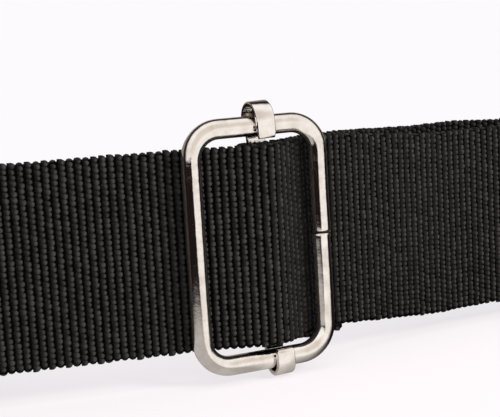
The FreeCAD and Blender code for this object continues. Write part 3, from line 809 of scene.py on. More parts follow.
@dataclass
class WebbingStretch:
    """One stretch of webbing: a dark core with yarn humps on its faces and loops on its edges."""

    name: str
    route: Route
    nodes: tuple[str, ...]
    faces: tuple[Face, ...] = (Face.RIGHT, Face.LEFT)
    phase: float = 0.0
    covered: tuple[float, float] | None = None
    weave: Weave = field(default_factory=Weave)
    width: float = 50.0 * MM

    def core_mesh(self) -> bpy.types.Mesh:
        """Make the plain strip that the humps stand on."""
        half = self.weave.core_thick / 2
        low = self.weave.edge_inset
        high = self.width - self.weave.edge_inset
        section = [(-half, low + half), (-half, high - half), (0, high),
                   (half, high - half), (half, low + half), (0, low)]
        points = []
        stations = self.route.stations(self.weave.rib_pitch)
        for distance in stations:
            place, way = self.route.at(distance)
            side = left_of(way)
            points += [place + side * a + Vector((0, 0, b)) for a, b in section]
        return mesh_from(self.name + "_core", points, ring_faces(len(stations), len(section)), smooth=False)

    def hump_places(self) -> list[Hump]:
        """Where each hump of yarn sits, on the faces and along both edges."""
        weave = self.weave
        rng = random.Random(self.name)
        places = []
        first = (weave.rib_pitch / 2 - self.phase) % weave.rib_pitch
        stack = int(round((self.width - 2 * weave.edge_inset) / weave.hump_pitch))
        pitch = (self.width - 2 * weave.edge_inset) / stack
        distance = first
        while distance < self.route.length - weave.rib_pitch * 0.02:
            place, way = self.route.at(distance)
            rib = int(round((distance + self.phase) / weave.rib_pitch))
            for face in self.faces:
                if self.covered and not self.covered[0] <= distance <= self.covered[1]:
                    continue
                out = left_of(way) * face.value
                basis = Matrix((way, out.cross(way), out)).transposed()
                stagger = 0.25 if rib % 2 == 0 else -0.25
                for i in range(stack):
                    up = weave.edge_inset + (i + 0.5 + stagger + rng.uniform(-0.08, 0.08)) * pitch
                    along = rng.uniform(-0.04, 0.04) * weave.rib_pitch
                    spot = place + way * along + Vector((0, 0, up)) + out * (weave.core_thick / 2)
                    turn = basis @ Matrix.Rotation(rng.uniform(-1, 1) * weave.turn_spread, 3, "Z")
                    grade = weave.grades[(i + rib // 2) % len(weave.grades)]
                    places.append(Hump(spot, turn.to_euler(), grade, False))
            for edge in Edge:
                up = self.width - weave.edge_inset if edge is Edge.UPPER else weave.edge_inset
                out = Vector((0, 0, edge.value))
                basis = Matrix((way, out.cross(way), out)).transposed()
                spot = place + Vector((0, 0, up)) - out * (weave.edge_height / 6)
                places.append(Hump(spot, basis.to_euler(), rng.uniform(0.9, 1.08), True))
            distance += weave.rib_pitch
        return places

    def build(self, finishes: Finishes, hump: bpy.types.Object, loop: bpy.types.Object) -> bpy.types.Object:
        """Make the finished stretch as one plain mesh.

        Args:
            finishes: The belt's materials.
            hump: The mesh of one yarn hump.
            loop: The mesh of one selvedge loop.

        Returns:
            The finished object, standing for its nodes.
        """
        core = new_object(self.name + "_core", self.core_mesh())
        core.data.materials.append(finishes.ground)
        places = self.hump_places()
        seeds = point_cloud(self.name, places)
        weave_tree(seeds, hump, loop, core, finishes, self.weave)
        made = baked(seeds, self.name)
        bpy.data.objects.remove(core)
        if self.nodes:
            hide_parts(*self.nodes)
        log.info("%s: %d humps, %d triangles", self.name, len(places), triangle_count(made))
        return made


def triangle_count(made: bpy.types.Object) -> int:
    """How many triangles a mesh has."""
    return sum(len(face.vertices) - 2 for face in made.data.polygons)


def point_cloud(name: str, places: list[Hump]) -> bpy.types.Object:
    """Loose points that carry a turn, a grade and an edge mark each."""
    mesh = bpy.data.meshes.new(name + "_points")
    mesh.from_pydata([tuple(hump.spot) for hump in places], [], [])
    turns = mesh.attributes.new("turn", "FLOAT_VECTOR", "POINT")
    turns.data.foreach_set("vector", [value for hump in places for value in hump.turn])
    grades = mesh.attributes.new("grade", "FLOAT", "POINT")
    grades.data.foreach_set("value", [hump.grade for hump in places])
    marks = mesh.attributes.new("on_edge", "BOOLEAN", "POINT")
    marks.data.foreach_set("value", [hump.on_edge for hump in places])
    return new_object(name + "_seeds", mesh)


def start_tree(name: str, inputs: dict[str, tuple[str, object]]) -> tuple[bpy.types.NodeTree, bpy.types.Node]:
    """Make an empty geometry tree with named inputs.

    Args:
        name: The tree's name.
        inputs: Input name to socket type and default value.

    Returns:
        The tree and its group input node.
    """
    tree = bpy.data.node_groups.new(name, "GeometryNodeTree")
    tree.interface.new_socket("Geometry", in_out="INPUT", socket_type="NodeSocketGeometry")
    tree.interface.new_socket("Geometry", in_out="OUTPUT", socket_type="NodeSocketGeometry")
    for label, (kind, value) in inputs.items():
        socket = tree.interface.new_socket(label, in_out="INPUT", socket_type=kind)
        if value is not None:
            socket.default_value = value
    return tree, tree.nodes.new("NodeGroupInput")


def give_tree(owner: bpy.types.Object, tree: bpy.types.NodeTree, values: dict[str, object]) -> None:
    """Put a geometry tree on an object and set its inputs by their identifiers."""
    modifier = owner.modifiers.new(tree.name, "NODES")
    modifier.node_group = tree
    identifiers = {item.name: item.identifier for item in tree.interface.items_tree if item.in_out == "INPUT"}
    for label, value in values.items():
        modifier[identifiers[label]] = value
    owner.update_tag()


def weave_tree(seeds: bpy.types.Object, hump: bpy.types.Object, loop: bpy.types.Object,
               core: bpy.types.Object, finishes: Finishes, weave: Weave) -> None:
    """Set a hump or loop of yarn on each point and join them to the core.

    Args:
        seeds: Points with a turn, a grade and an edge mark.
        hump: A face hump of unit size.
        loop: A selvedge loop of unit size.
        core: The plain strip under them.
        finishes: The belt's materials.
        weave: Sizes of the weave.
    """
    tree, given = start_tree("woven_ribs", {
        "Hump": ("NodeSocketObject", None), "Loop": ("NodeSocketObject", None),
        "Core": ("NodeSocketObject", None),
        "Hump length": ("NodeSocketFloat", weave.hump_length),
        "Hump width": ("NodeSocketFloat", weave.hump_width),
        "Hump height": ("NodeSocketFloat", weave.hump_height),
        "Loop length": ("NodeSocketFloat", weave.rib_pitch),
        "Loop width": ("NodeSocketFloat", weave.edge_width),
        "Loop height": ("NodeSocketFloat", weave.edge_height),
        "Size spread": ("NodeSocketFloat", weave.size_spread), "Seed": ("NodeSocketInt", 7),
    })
    turn = add_node(tree, "GeometryNodeInputNamedAttribute", {"Name": "turn"}, data_type="FLOAT_VECTOR")
    grade = add_node(tree, "GeometryNodeInputNamedAttribute", {"Name": "grade"}, data_type="FLOAT")
    on_edge = add_node(tree, "GeometryNodeInputNamedAttribute", {"Name": "on_edge"}, data_type="BOOLEAN")
    on_face = add_node(tree, "FunctionNodeBooleanMath", {0: on_edge.outputs["Attribute"]}, operation="NOT")
    rotation = add_node(tree, "FunctionNodeEulerToRotation", {0: turn.outputs["Attribute"]})
    least = add_node(tree, "ShaderNodeMath", {0: 1.0, 1: given.outputs["Size spread"]},
                     operation="SUBTRACT")
    most = add_node(tree, "ShaderNodeMath", {0: 1.0, 1: given.outputs["Size spread"]}, operation="ADD")
    chance = add_node(tree, "FunctionNodeRandomValue", {
        2: least.outputs["Value"], 3: most.outputs["Value"], "Seed": given.outputs["Seed"]},
        data_type="FLOAT")
    size = add_node(tree, "ShaderNodeMath", {0: chance.outputs[1], 1: grade.outputs["Attribute"]},
                    operation="MULTIPLY")
    yarn = add_node(tree, "GeometryNodeJoinGeometry")
    for label, chosen in (("Hump", on_face.outputs[0]), ("Loop", on_edge.outputs["Attribute"])):
        info = add_node(tree, "GeometryNodeObjectInfo", {"Object": given.outputs[label]})
        full = add_node(tree, "ShaderNodeCombineXYZ", {
            "X": given.outputs[label + " length"], "Y": given.outputs[label + " width"],
            "Z": given.outputs[label + " height"]})
        scale = add_node(tree, "ShaderNodeVectorMath", {
            0: full.outputs["Vector"], "Scale": size.outputs["Value"]}, operation="SCALE")
        stamp = add_node(tree, "GeometryNodeInstanceOnPoints", {
            "Points": given.outputs["Geometry"], "Selection": chosen, "Instance": info.outputs["Geometry"],
            "Rotation": rotation.outputs["Rotation"], "Scale": scale.outputs["Vector"]})
        tree.links.new(stamp.outputs["Instances"], yarn.inputs["Geometry"])
    real = add_node(tree, "GeometryNodeRealizeInstances", {"Geometry": yarn.outputs["Geometry"]})
    dressed = add_node(tree, "GeometryNodeSetMaterial", {
        "Geometry": real.outputs["Geometry"], "Material": finishes.webbing})
    body = add_node(tree, "GeometryNodeObjectInfo", {"Object": given.outputs["Core"]})
    dark = add_node(tree, "GeometryNodeSetMaterial", {
        "Geometry": body.outputs["Geometry"], "Material": finishes.ground})
    whole = add_node(tree, "GeometryNodeJoinGeometry")
    for part in (dressed.outputs["Geometry"], dark.outputs["Geometry"]):
        tree.links.new(part, whole.inputs["Geometry"])
    add_node(tree, "NodeGroupOutput", {"Geometry": whole.outputs["Geometry"]})
    give_tree(seeds, tree, {"Hump": hump, "Loop": loop, "Core": core})


def baked(owner: bpy.types.Object, name: str) -> bpy.types.Object:
    """Turn an object and its live modifiers into a plain mesh object.

    Args:
        owner: The object with modifiers, which is removed.
        name: The new object's name.

    Returns:
        The plain object.
    """
    bpy.context.view_layer.update()
    graph = bpy.context.evaluated_depsgraph_get()
    mesh = bpy.data.meshes.new_from_object(owner.evaluated_get(graph), depsgraph=graph)
    for label in ("turn", "grade", "on_edge"):
        attribute = mesh.attributes.get(label)
        if attribute:
            mesh.attributes.remove(attribute)
    bpy.data.objects.remove(owner)
    mesh.name = name
    return new_object(name, mesh)


def yarn_hump(name: str, profile: list[tuple[float, float, float, float]], crease: float) -> bpy.types.Object:
    """One hump of yarn of unit length, width and height, its foot at the origin.

    Args:
        name: The object's name.
        profile: Along the hump: place, height, width and paleness, each as a share of the whole; the paleness
            is painted light, a painted highlight where high and painted shade where low.
        crease: How far the sides fall below the middle, as a share of the height.

    Returns:
        The hump, hidden from renders.
    """
    across = (-0.5, -0.3, 0.0, 0.3, 0.5)
    points = []
    painted_light_values = []
    for place, height, width, pale in profile:
        for share in across:
            fall = crease * (2 * share) ** 2
            points.append((place, share * width, height - fall * max(height, 0.3)))
            # Painted light for this corner: the row's paleness, darker towards the hump's sides as painted
            # shade.
            painted_light_values.append(pale * (1 - 0.45 * (2 * share) ** 2))
    count = len(across)
    faces = []
    for i in range(len(profile) - 1):
        for j in range(count - 1):
            a = i * count + j
            faces.append([a, a + count, a + count + 1, a + 1])
    mesh = bpy.data.meshes.new(name)
    mesh.from_pydata(points, [], faces)
    mesh.polygons.foreach_set("use_smooth", [True] * len(mesh.polygons))
    # Store the painted light as the "lift" attribute that the webbing material reads.
    mesh.attributes.new("lift", "FLOAT", "POINT").data.foreach_set("value", painted_light_values)
    made = new_object(name, mesh)
    made.hide_render = True
    return made


# Rows: place, height, width and paleness; the paleness is painted light, dark at the foot as painted shade
# and brightest past the crest's middle as a painted highlight.
TOOTHED_PROFILE = [
    (-0.5, -0.25, 1.0, 0.0), (-0.42, 0.35, 1.02, 0.34), (-0.22, 0.74, 1.02, 0.56), (0.02, 0.96, 1.0, 0.84),
    (0.22, 1.0, 0.88, 1.1), (0.4, 0.68, 0.6, 1.0), (0.5, 0.0, 0.24, 0.5),
]
# The loop's paleness is painted light too: a painted highlight on its crest, painted shade at both ends.
LOOP_PROFILE = [
    (-0.5, -0.2, 0.8, 0.1), (-0.36, 0.6, 0.95, 0.5), (-0.05, 1.0, 1.0, 0.9), (0.28, 0.7, 0.95, 0.7),
    (0.5, -0.2, 0.8, 0.1),
]


@dataclass
class Webbing:
    """The belt's one strap, in stretches that ride on different bodies."""

    layout: BeltLayout
    weave: Weave = field(default_factory=Weave)

    def build(self, finishes: Finishes) -> list[bpy.types.Object]:
        """Make every stretch and say what it moves with.

        Args:
            finishes: The belt's materials.

        Returns:
            The finished objects.
        """
        weave = self.weave
        hump = yarn_hump("yarn_hump", TOOTHED_PROFILE, 0.5)
        loop = yarn_hump("selvedge_loop", LOOP_PROFILE, 0.9)
        layout = self.layout
        made = []

        def stretch(name: str, route: Route, body: str, nodes: tuple[str, ...],
                    **options) -> bpy.types.Object:
            piece = WebbingStretch(name, route, nodes, weave=weave, width=layout.web_width, **options)
            built = piece.build(finishes, hump, loop)
            if body:
                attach(built, body)
            made.append(built)
            return built

        left = layout.left_run()
        through = layout.slider_pass()
        front = layout.front_run()
        run = stretch("web_left_run", left, "", ("webbing_left_run",))
        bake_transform(run)
        stretch("web_slider_pass", through, "slider_group", ("webbing_slider_pass",), phase=left.length)
        run = stretch("web_front_run", front, "", ("webbing_front_run",),
                      phase=left.length + through.length)
        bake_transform(run)
        back = layout.back_run()
        turn = layout.male_turn()
        turn_phase = left.length + through.length + front.length
        back_phase = -back.length - (turn.length + turn_phase) % weave.rib_pitch
        run = stretch("web_back_run", back, "", ("webbing_back_run",), phase=back_phase)
        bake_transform(run)
        loop_route = layout.bar_loop()
        stretch("web_bar_loop", loop_route, "slider_group", ("webbing_bar_loop",),
                phase=back_phase - loop_route.length)
        stretch("web_plug_turn", turn, "belt_right_end", ("webbing_male_turn",), phase=turn_phase)
        socket_run = layout.female_run()
        stretch("web_socket_run", socket_run, "belt_left", ("webbing_female_run",))
        stretch("web_socket_turn", layout.female_turn(), "belt_left",
                ("webbing_female_turn", "webbing_female_doubled"), phase=socket_run.length)
        self.build_roll(stretch)
        for shape in (hump, loop):
            bpy.data.objects.remove(shape)
        return made

    def build_roll(self, stretch) -> None:
        """Make the roll's two arms: bare inside, woven on the outermost half turn."""
        arms = (("web_roll_inner", 0.0, ("webbing_roll",)), ("web_roll_outer", math.pi, ()))
        for name, side, nodes in arms:
            route = self.layout.roll_arm(side)
            last = route.pieces[-1].length
            stretch(name, route, "belt_left", nodes, faces=(Face.RIGHT,), phase=-route.length,
                    covered=(route.length - last - self.weave.rib_pitch, route.length))


# Wire slider


@dataclass
class WireSlider:
    """The bent-wire frame and the loose hooked bar."""

    layout: BeltLayout
    corner_radius: float = 7.2 * MM
    butt_gap: float = 0.4 * MM
    butt_rise: float = 1.2 * MM
    butt_shift: float = 0.28 * MM
    butt_fade: float = 14 * MM
    butt_lean: float = 0.6
    cut_end: tuple[tuple[float, float], ...] = (
        (0.0, 0.8), (0.08 * MM, 0.92), (0.2 * MM, 0.98), (0.4 * MM, 1.0))
    end_room: float = 0.6 * MM
    wire_step: float = 1.2 * MM
    bar_step: float = 1.5 * MM
    bar_end_share: float = 0.86
    around: int = 28
    corner_steps: int = 12
    arch_steps: int = 20
    neck_steps: int = 8
    eye_steps: int = 28
    hook_gap_top: float = 1.9 * MM
    eye_radius: float = 4.3 * MM
    neck_radius: float = 1.8 * MM
    leg_top: float = 3.3 * MM
    leg_bottom: float = 2.4 * MM
    bar_edge: float = 0.3 * MM

    def wire_path(self) -> list[Vector]:
        """Points of the wire's middle line, from the butt joint round and back to it."""
        half, low, top = self.layout.half_width, self.layout.low_wire, self.layout.top_wire
        r = self.corner_radius
        middle = (low + top) / 2 + self.butt_rise
        corners = [
            (Vector((half - r, 0, top - r)), 0.0),
            (Vector((r - half, 0, top - r)), 90.0),
            (Vector((r - half, 0, low + r)), 180.0),
            (Vector((half - r, 0, low + r)), 270.0),
        ]
        path = [Vector((half, 0, middle + self.butt_gap / 2))]
        for centre, first in corners:
            for i in range(self.corner_steps + 1):
                angle = math.radians(first + 90 * i / self.corner_steps)
                path.append(centre + Vector((math.cos(angle), 0, math.sin(angle))) * r)
        path.append(Vector((half, 0, middle - self.butt_gap / 2)))
        return path

    def build_frame(self, finishes: Finishes) -> bpy.types.Object:
        """Make the wire frame with its rounded cut ends slightly out of line.

        Args:
            finishes: The belt's materials.

        Returns:
            The finished object.
        """
        path = densified(self.wire_path(), self.wire_step)
        radius = self.layout.wire_radius
        toward_back = Vector((0, 1, 0))
        total = sum((b - a).length for a, b in zip(path, path[1:]))
        travelled = 0.0
        stations = [(path[0], 0.0)]
        for a, b in zip(path, path[1:]):
            travelled += (b - a).length
            stations.append((b, travelled))
        extra = [distance for distance, _ in self.cut_end[1:]]
        distances = sorted({round(d, 9) for _, d in stations if self.end_room < d < total - self.end_room}
                           | set(extra) | {total - d for d in extra} | {0.0, total})
        points = []
        for distance in distances:
            place, way = along_path(stations, distance)
            from_end = min(distance, total - distance)
            share = 1.0
            for (near, small), (far, large) in zip(self.cut_end, self.cut_end[1:]):
                if near <= from_end <= far:
                    share = small + (large - small) * (from_end - near) / (far - near)
            upper = distance < total / 2
            fade = max(0.0, 1 - from_end / self.butt_fade)
            shift = self.butt_shift * fade * fade * (1 if upper else -1)
            place = place + Vector((shift, shift * self.butt_lean, 0))
            across = way.cross(toward_back).normalized()
            for j in range(self.around):
                angle = 2 * math.pi * j / self.around
                spoke = across * math.cos(angle) + toward_back * math.sin(angle)
                points.append(place + spoke * radius * share)
        mesh = mesh_from("slider_wire", points, ring_faces(len(distances), self.around))
        made = new_object("slider_wire", mesh)
        made.data.materials.append(finishes.nickel)
        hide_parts("slider_frame")
        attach(made, "frame_body")
        return made

    def build_bar(self, finishes: Finishes) -> bpy.types.Object:
        """Make the flat bar with its two hooks.

        Args:
            finishes: The belt's materials.

        Returns:
            The finished object.
        """
        layout = self.layout
        r = layout.bar_y
        thick = layout.bar_thick
        crown = layout.top_wire + layout.wire_radius + self.hook_gap_top + thick / 2
        eye = Vector((0, self.eye_radius - r, crown - self.eye_radius))
        reach = self.eye_radius + self.neck_radius
        turn = math.acos((r + self.neck_radius - eye.y) / reach)
        neck = eye + Vector((0, math.cos(turn), -math.sin(turn))) * reach
        low_arch = thick / 2 + r
        path = [Vector((0, -r, layout.low_wire + self.leg_bottom))]
        path += [Vector((0, -math.cos(a) * r, low_arch - math.sin(a) * r))
                 for a in (math.pi * i / self.arch_steps for i in range(self.arch_steps + 1))]
        path += [neck + Vector((0, math.cos(a), math.sin(a))) * self.neck_radius
                 for a in (math.pi - turn * i / self.neck_steps for i in range(self.neck_steps + 1))]
        path += [eye + Vector((0, math.cos(a), math.sin(a))) * self.eye_radius
                 for a in ((math.pi + turn) * i / self.eye_steps - turn
                           for i in range(self.eye_steps + 1))]
        path.append(Vector((0, -r, layout.top_wire - self.leg_top)))
        path = densified(path, self.bar_step)
        section = rounded_section(layout.bar_width / 2, thick / 2, self.bar_edge)
        points = []
        for i, place in enumerate(path):
            way = (path[min(i + 1, len(path) - 1)] - path[max(i - 1, 0)]).normalized()
            out = Vector((1, 0, 0)).cross(way).normalized()
            from_end = min(i, len(path) - 1 - i)
            share = self.bar_end_share if from_end == 0 else 1.0
            points += [place + Vector((1, 0, 0)) * (a * share) + out * (b * share) for a, b in section]
        mesh = mesh_from("slider_bar_strip", points, ring_faces(len(path), len(section)))
        middle = Vector((layout.bar_offset, 0, (layout.low_wire + layout.top_wire) / 2))
        turn = Matrix.Rotation(math.radians(-layout.bar_tilt), 4, "Y")
        mesh.transform(Matrix.Translation(middle) @ turn @ Matrix.Translation(-middle)
                       @ Matrix.Translation((layout.bar_offset, 0, 0)))
        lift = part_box("slider_bar")[0].z - min(v.co.z for v in mesh.vertices)
        mesh.transform(Matrix.Translation((0, 0, lift)))
        made = new_object("slider_bar_strip", mesh)
        made.data.materials.append(finishes.nickel)
        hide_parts("slider_bar")
        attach(made, "slider_group")
        return made


def densified(path: list[Vector], step: float) -> list[Vector]:
    """Add points on long stretches so that none is longer than a step."""
    out = [path[0]]
    for a, b in zip(path, path[1:]):
        if (b - a).length < 1e-7:
            continue
        count = max(1, math.ceil((b - a).length / step))
        out += [a.lerp(b, (i + 1) / count) for i in range(count)]
    return out


def along_path(stations: list[tuple[Vector, float]], distance: float) -> tuple[Vector, Vector]:
    """Place and heading at a distance along measured points."""
    for (a, near), (b, far) in zip(stations, stations[1:]):
        if distance <= far + 1e-9:
            return a.lerp(b, (distance - near) / (far - near)), (b - a).normalized()
    (a, _), (b, _) = stations[-2:]
    return b.copy(), (b - a).normalized()


def rounded_section(half_width: float, half_thick: float, radius: float) -> list[tuple[float, float]]:
    """Corners of a rectangle rounded by short arcs."""
    section = []
    for sx, sy, first in ((1, 1, 0), (-1, 1, 90), (-1, -1, 180), (1, -1, 270)):
        for i in range(4):
            angle = math.radians(first + 30 * i)
            section.append((sx * (half_width - radius) + math.cos(angle) * radius,
                            sy * (half_thick - radius) + math.sin(angle) * radius))
    return section


# Studio


@dataclass(frozen=True)
class Studio:
    """Pale floor, soft lamps and the photograph's viewpoint."""

    camera_place: Vector = Vector((-116.4 * MM, -263.5 * MM, 86.3 * MM))
    azimuth: float = -23.44
    elevation: float = 8.62
    roll: float = -3.30
    focal_px: float = 1200.0
    floor_colour: str = "#fbf3f5"
    sky_colour: str = "#fdfafd"
    dome_way: tuple[float, float, float] = (0.0, -0.8, 0.6)
    dome_bands: tuple[tuple[float, str], ...] = (
        (0.3, "#9a918b"), (0.42, "#2a211e"), (0.58, "#2a211e"),
        (0.7, "#fffdfb"), (0.88, "#fffdfb"), (0.97, "#e4dad1"))
    table_dark: str = "#1e1715"
    table_pale: str = "#fbf6f2"
    table_left_way: tuple[float, float, float] = (0.961, -0.275, 0.0)
    table_back_way: tuple[float, float, float] = (-0.506, -0.863, 0.0)
    table_edge: float = -8 * MM
    table_soft: float = 16 * MM
    table_patch: tuple[float, float, float] = (-45 * MM, -25 * MM, 0.0)
    table_near: float = 35 * MM
    table_far: float = 80 * MM
    floor_lift: float = 0.1
    floor_white: float = 0.7
    floor_half: float = 3.0
    fade_from: float = 90 * MM
    fade_to: float = 240 * MM
    fill: float = 0.42

    def camera(self) -> bpy.types.Object:
        """Set the camera at the photograph's viewpoint."""
        data = bpy.data.cameras.new("camera")
        data.sensor_width = 36.0
        data.lens = self.focal_px / PHOTO_WIDTH * data.sensor_width
        data.clip_start = 10 * MM
        data.clip_end = 20.0
        made = bpy.data.objects.new("camera", data)
        bpy.context.scene.collection.objects.link(made)
        a, e, r = (math.radians(v) for v in (self.azimuth, self.elevation, self.roll))
        forward = Vector((-math.sin(a) * math.cos(e), math.cos(a) * math.cos(e), -math.sin(e)))
        level = Vector((math.cos(a), math.sin(a), 0))
        upright = level.cross(forward)
        right = level * math.cos(r) + upright * math.sin(r)
        up = upright * math.cos(r) - level * math.sin(r)
        aim = Matrix((right, up, -forward)).transposed().to_4x4()
        made.matrix_world = Matrix.Translation(self.camera_place) @ aim
        bpy.context.scene.camera = made
        return made

    def lamp(self, name: str, place: tuple, aim: tuple, size: tuple, power: float, colour: str) -> None:
        """Add one softbox.

        Args:
            name: The lamp's name.
            place: Where it stands, in metres.
            aim: The point that it faces.
            size: Its width and height.
            power: Watts.
            colour: Its colour.
        """
        data = bpy.data.lights.new(name, "AREA")
        data.shape = "RECTANGLE"
        data.size, data.size_y = size
        data.energy = power
        data.color = linear(colour)[:3]
        made = bpy.data.objects.new(name, data)
        made.location = place
        made.rotation_euler = (Vector(aim) - Vector(place)).to_track_quat("-Z", "Y").to_euler()
        made.visible_glossy = False
        bpy.context.scene.collection.objects.link(made)

    def world(self) -> None:
        """White for the camera, an even fill, and for reflections a dark room with a bright ceiling."""
        world = bpy.data.worlds.new("studio")
        world.use_nodes = True
        tree = world.node_tree
        tree.nodes.clear()
        path = add_node(tree, "ShaderNodeLightPath")
        facing = add_node(tree, "ShaderNodeVectorMath", {
            0: add_node(tree, "ShaderNodeTexCoord").outputs["Generated"], 1: self.dome_way},
            operation="DOT_PRODUCT")
        spread = add_node(tree, "ShaderNodeMapRange", {
            "Value": facing.outputs["Value"], "From Min": -1.0, "From Max": 1.0})
        room = add_node(tree, "ShaderNodeValToRGB", {"Fac": spread.outputs["Result"]})
        bands = room.color_ramp.elements
        for place, colour in self.dome_bands[1:-1]:
            bands.new(place).color = linear(colour)
        ends = ((bands[0], self.dome_bands[0]), (bands[len(bands) - 1], self.dome_bands[-1]))
        for band, (place, colour) in ends:
            band.position = place
            band.color = linear(colour)
        mirror = add_node(tree, "ShaderNodeBackground", {"Color": room.outputs["Color"], "Strength": 1.0})
        white = add_node(tree, "ShaderNodeBackground", {"Color": linear(self.sky_colour), "Strength": 1.0})
        soft = add_node(tree, "ShaderNodeBackground", {"Color": linear("#f4f2f4"), "Strength": self.fill})
        first = add_node(tree, "ShaderNodeMixShader", {
            0: path.outputs["Is Glossy Ray"], 1: soft.outputs[0], 2: mirror.outputs[0]})
        second = add_node(tree, "ShaderNodeMixShader", {
            0: path.outputs["Is Camera Ray"], 1: first.outputs[0], 2: white.outputs[0]})
        add_node(tree, "ShaderNodeOutputWorld", {"Surface": second.outputs[0]})
        bpy.context.scene.world = world

    def floor(self) -> bpy.types.Object:
        """A wide pale floor: it keeps the shadow near the belt and runs out to white.

        In reflections only a sector to the front right and the part near the belt are pale, as where
        one softbox lights a table in a dark room.
        """
        half = self.floor_half
        mesh = mesh_from("floor", [(-half, -half, 0), (half, -half, 0), (half, half, 0), (-half, half, 0)],
                         [[0, 1, 2, 3]], smooth=False)
        made = new_object("floor", mesh)
        material = bpy.data.materials.new("pale_floor")
        material.use_nodes = True
        tree = material.node_tree
        tree.nodes.clear()
        path = add_node(tree, "ShaderNodeLightPath")
        place = add_node(tree, "ShaderNodeTexCoord").outputs["Object"]
        matt = add_node(tree, "ShaderNodeBsdfDiffuse", {"Color": linear(self.floor_colour)})
        white = add_node(tree, "ShaderNodeEmission", {"Color": linear(self.sky_colour), "Strength": 1.0})
        far = add_node(tree, "ShaderNodeVectorMath", {0: place}, operation="LENGTH")
        fade = add_node(tree, "ShaderNodeMapRange", {
            "Value": far.outputs["Value"], "From Min": self.fade_from, "From Max": self.fade_to,
            "To Min": self.floor_white}, interpolation_type="SMOOTHSTEP")
        lift = add_node(tree, "ShaderNodeEmission", {"Color": linear(self.floor_colour),
                                                     "Strength": self.floor_lift})
        lit = add_node(tree, "ShaderNodeAddShader", {0: matt.outputs[0], 1: lift.outputs[0]})
        seen = add_node(tree, "ShaderNodeMixShader", {
            0: fade.outputs["Result"], 1: lit.outputs[0], 2: white.outputs[0]})
        sides = []
        for way in (self.table_left_way, self.table_back_way):
            past = add_node(tree, "ShaderNodeVectorMath", {0: place, 1: way}, operation="DOT_PRODUCT")
            sides.append(add_node(tree, "ShaderNodeMapRange", {
                "Value": past.outputs["Value"], "From Min": self.table_edge,
                "From Max": self.table_edge + self.table_soft}))
        gap = add_node(tree, "ShaderNodeMath", {i: side.outputs["Result"] for i, side in enumerate(sides)},
                       operation="MINIMUM")
        beside = add_node(tree, "ShaderNodeVectorMath", {0: place, 1: self.table_patch}, operation="DISTANCE")
        near = add_node(tree, "ShaderNodeMapRange", {
            "Value": beside.outputs["Value"], "From Min": self.table_near, "From Max": self.table_far,
            "To Min": 0.5, "To Max": 0.0}, interpolation_type="SMOOTHSTEP")
        pale = add_node(tree, "ShaderNodeMath", {0: gap.outputs["Value"], 1: near.outputs["Result"]},
                        operation="MAXIMUM")
        table = add_node(tree, "ShaderNodeMix", {
            "Factor": pale.outputs["Value"], "A": linear(self.table_dark), "B": linear(self.table_pale)},
            data_type="RGBA")
        mirror = add_node(tree, "ShaderNodeEmission", {"Color": table.outputs["Result"], "Strength": 1.0})
        other = add_node(tree, "ShaderNodeMixShader", {
            0: path.outputs["Is Glossy Ray"], 1: matt.outputs[0], 2: mirror.outputs[0]})
        mix = add_node(tree, "ShaderNodeMixShader", {
            0: path.outputs["Is Camera Ray"], 1: other.outputs[0], 2: seen.outputs[0]})
        add_node(tree, "ShaderNodeOutputMaterial", {"Surface": mix.outputs[0]})
        made.data.materials.append(material)
        return made

    def build(self) -> None:
        """Set up the camera, the lamps, the world and the floor."""
        self.camera()
        self.world()
        self.floor()
        self.lamp("top_softbox", (0.0, -0.1, 0.8), (0, 0, 0.02), (0.9, 0.7), 2.7, "#fffdfb")
        self.lamp("front_key", (0.38, -0.52, 0.42), (0, 0, 0.03), (0.2, 0.2), 3.6, "#fffaf6")


# Repeated small forms: stitches and moulded ribs


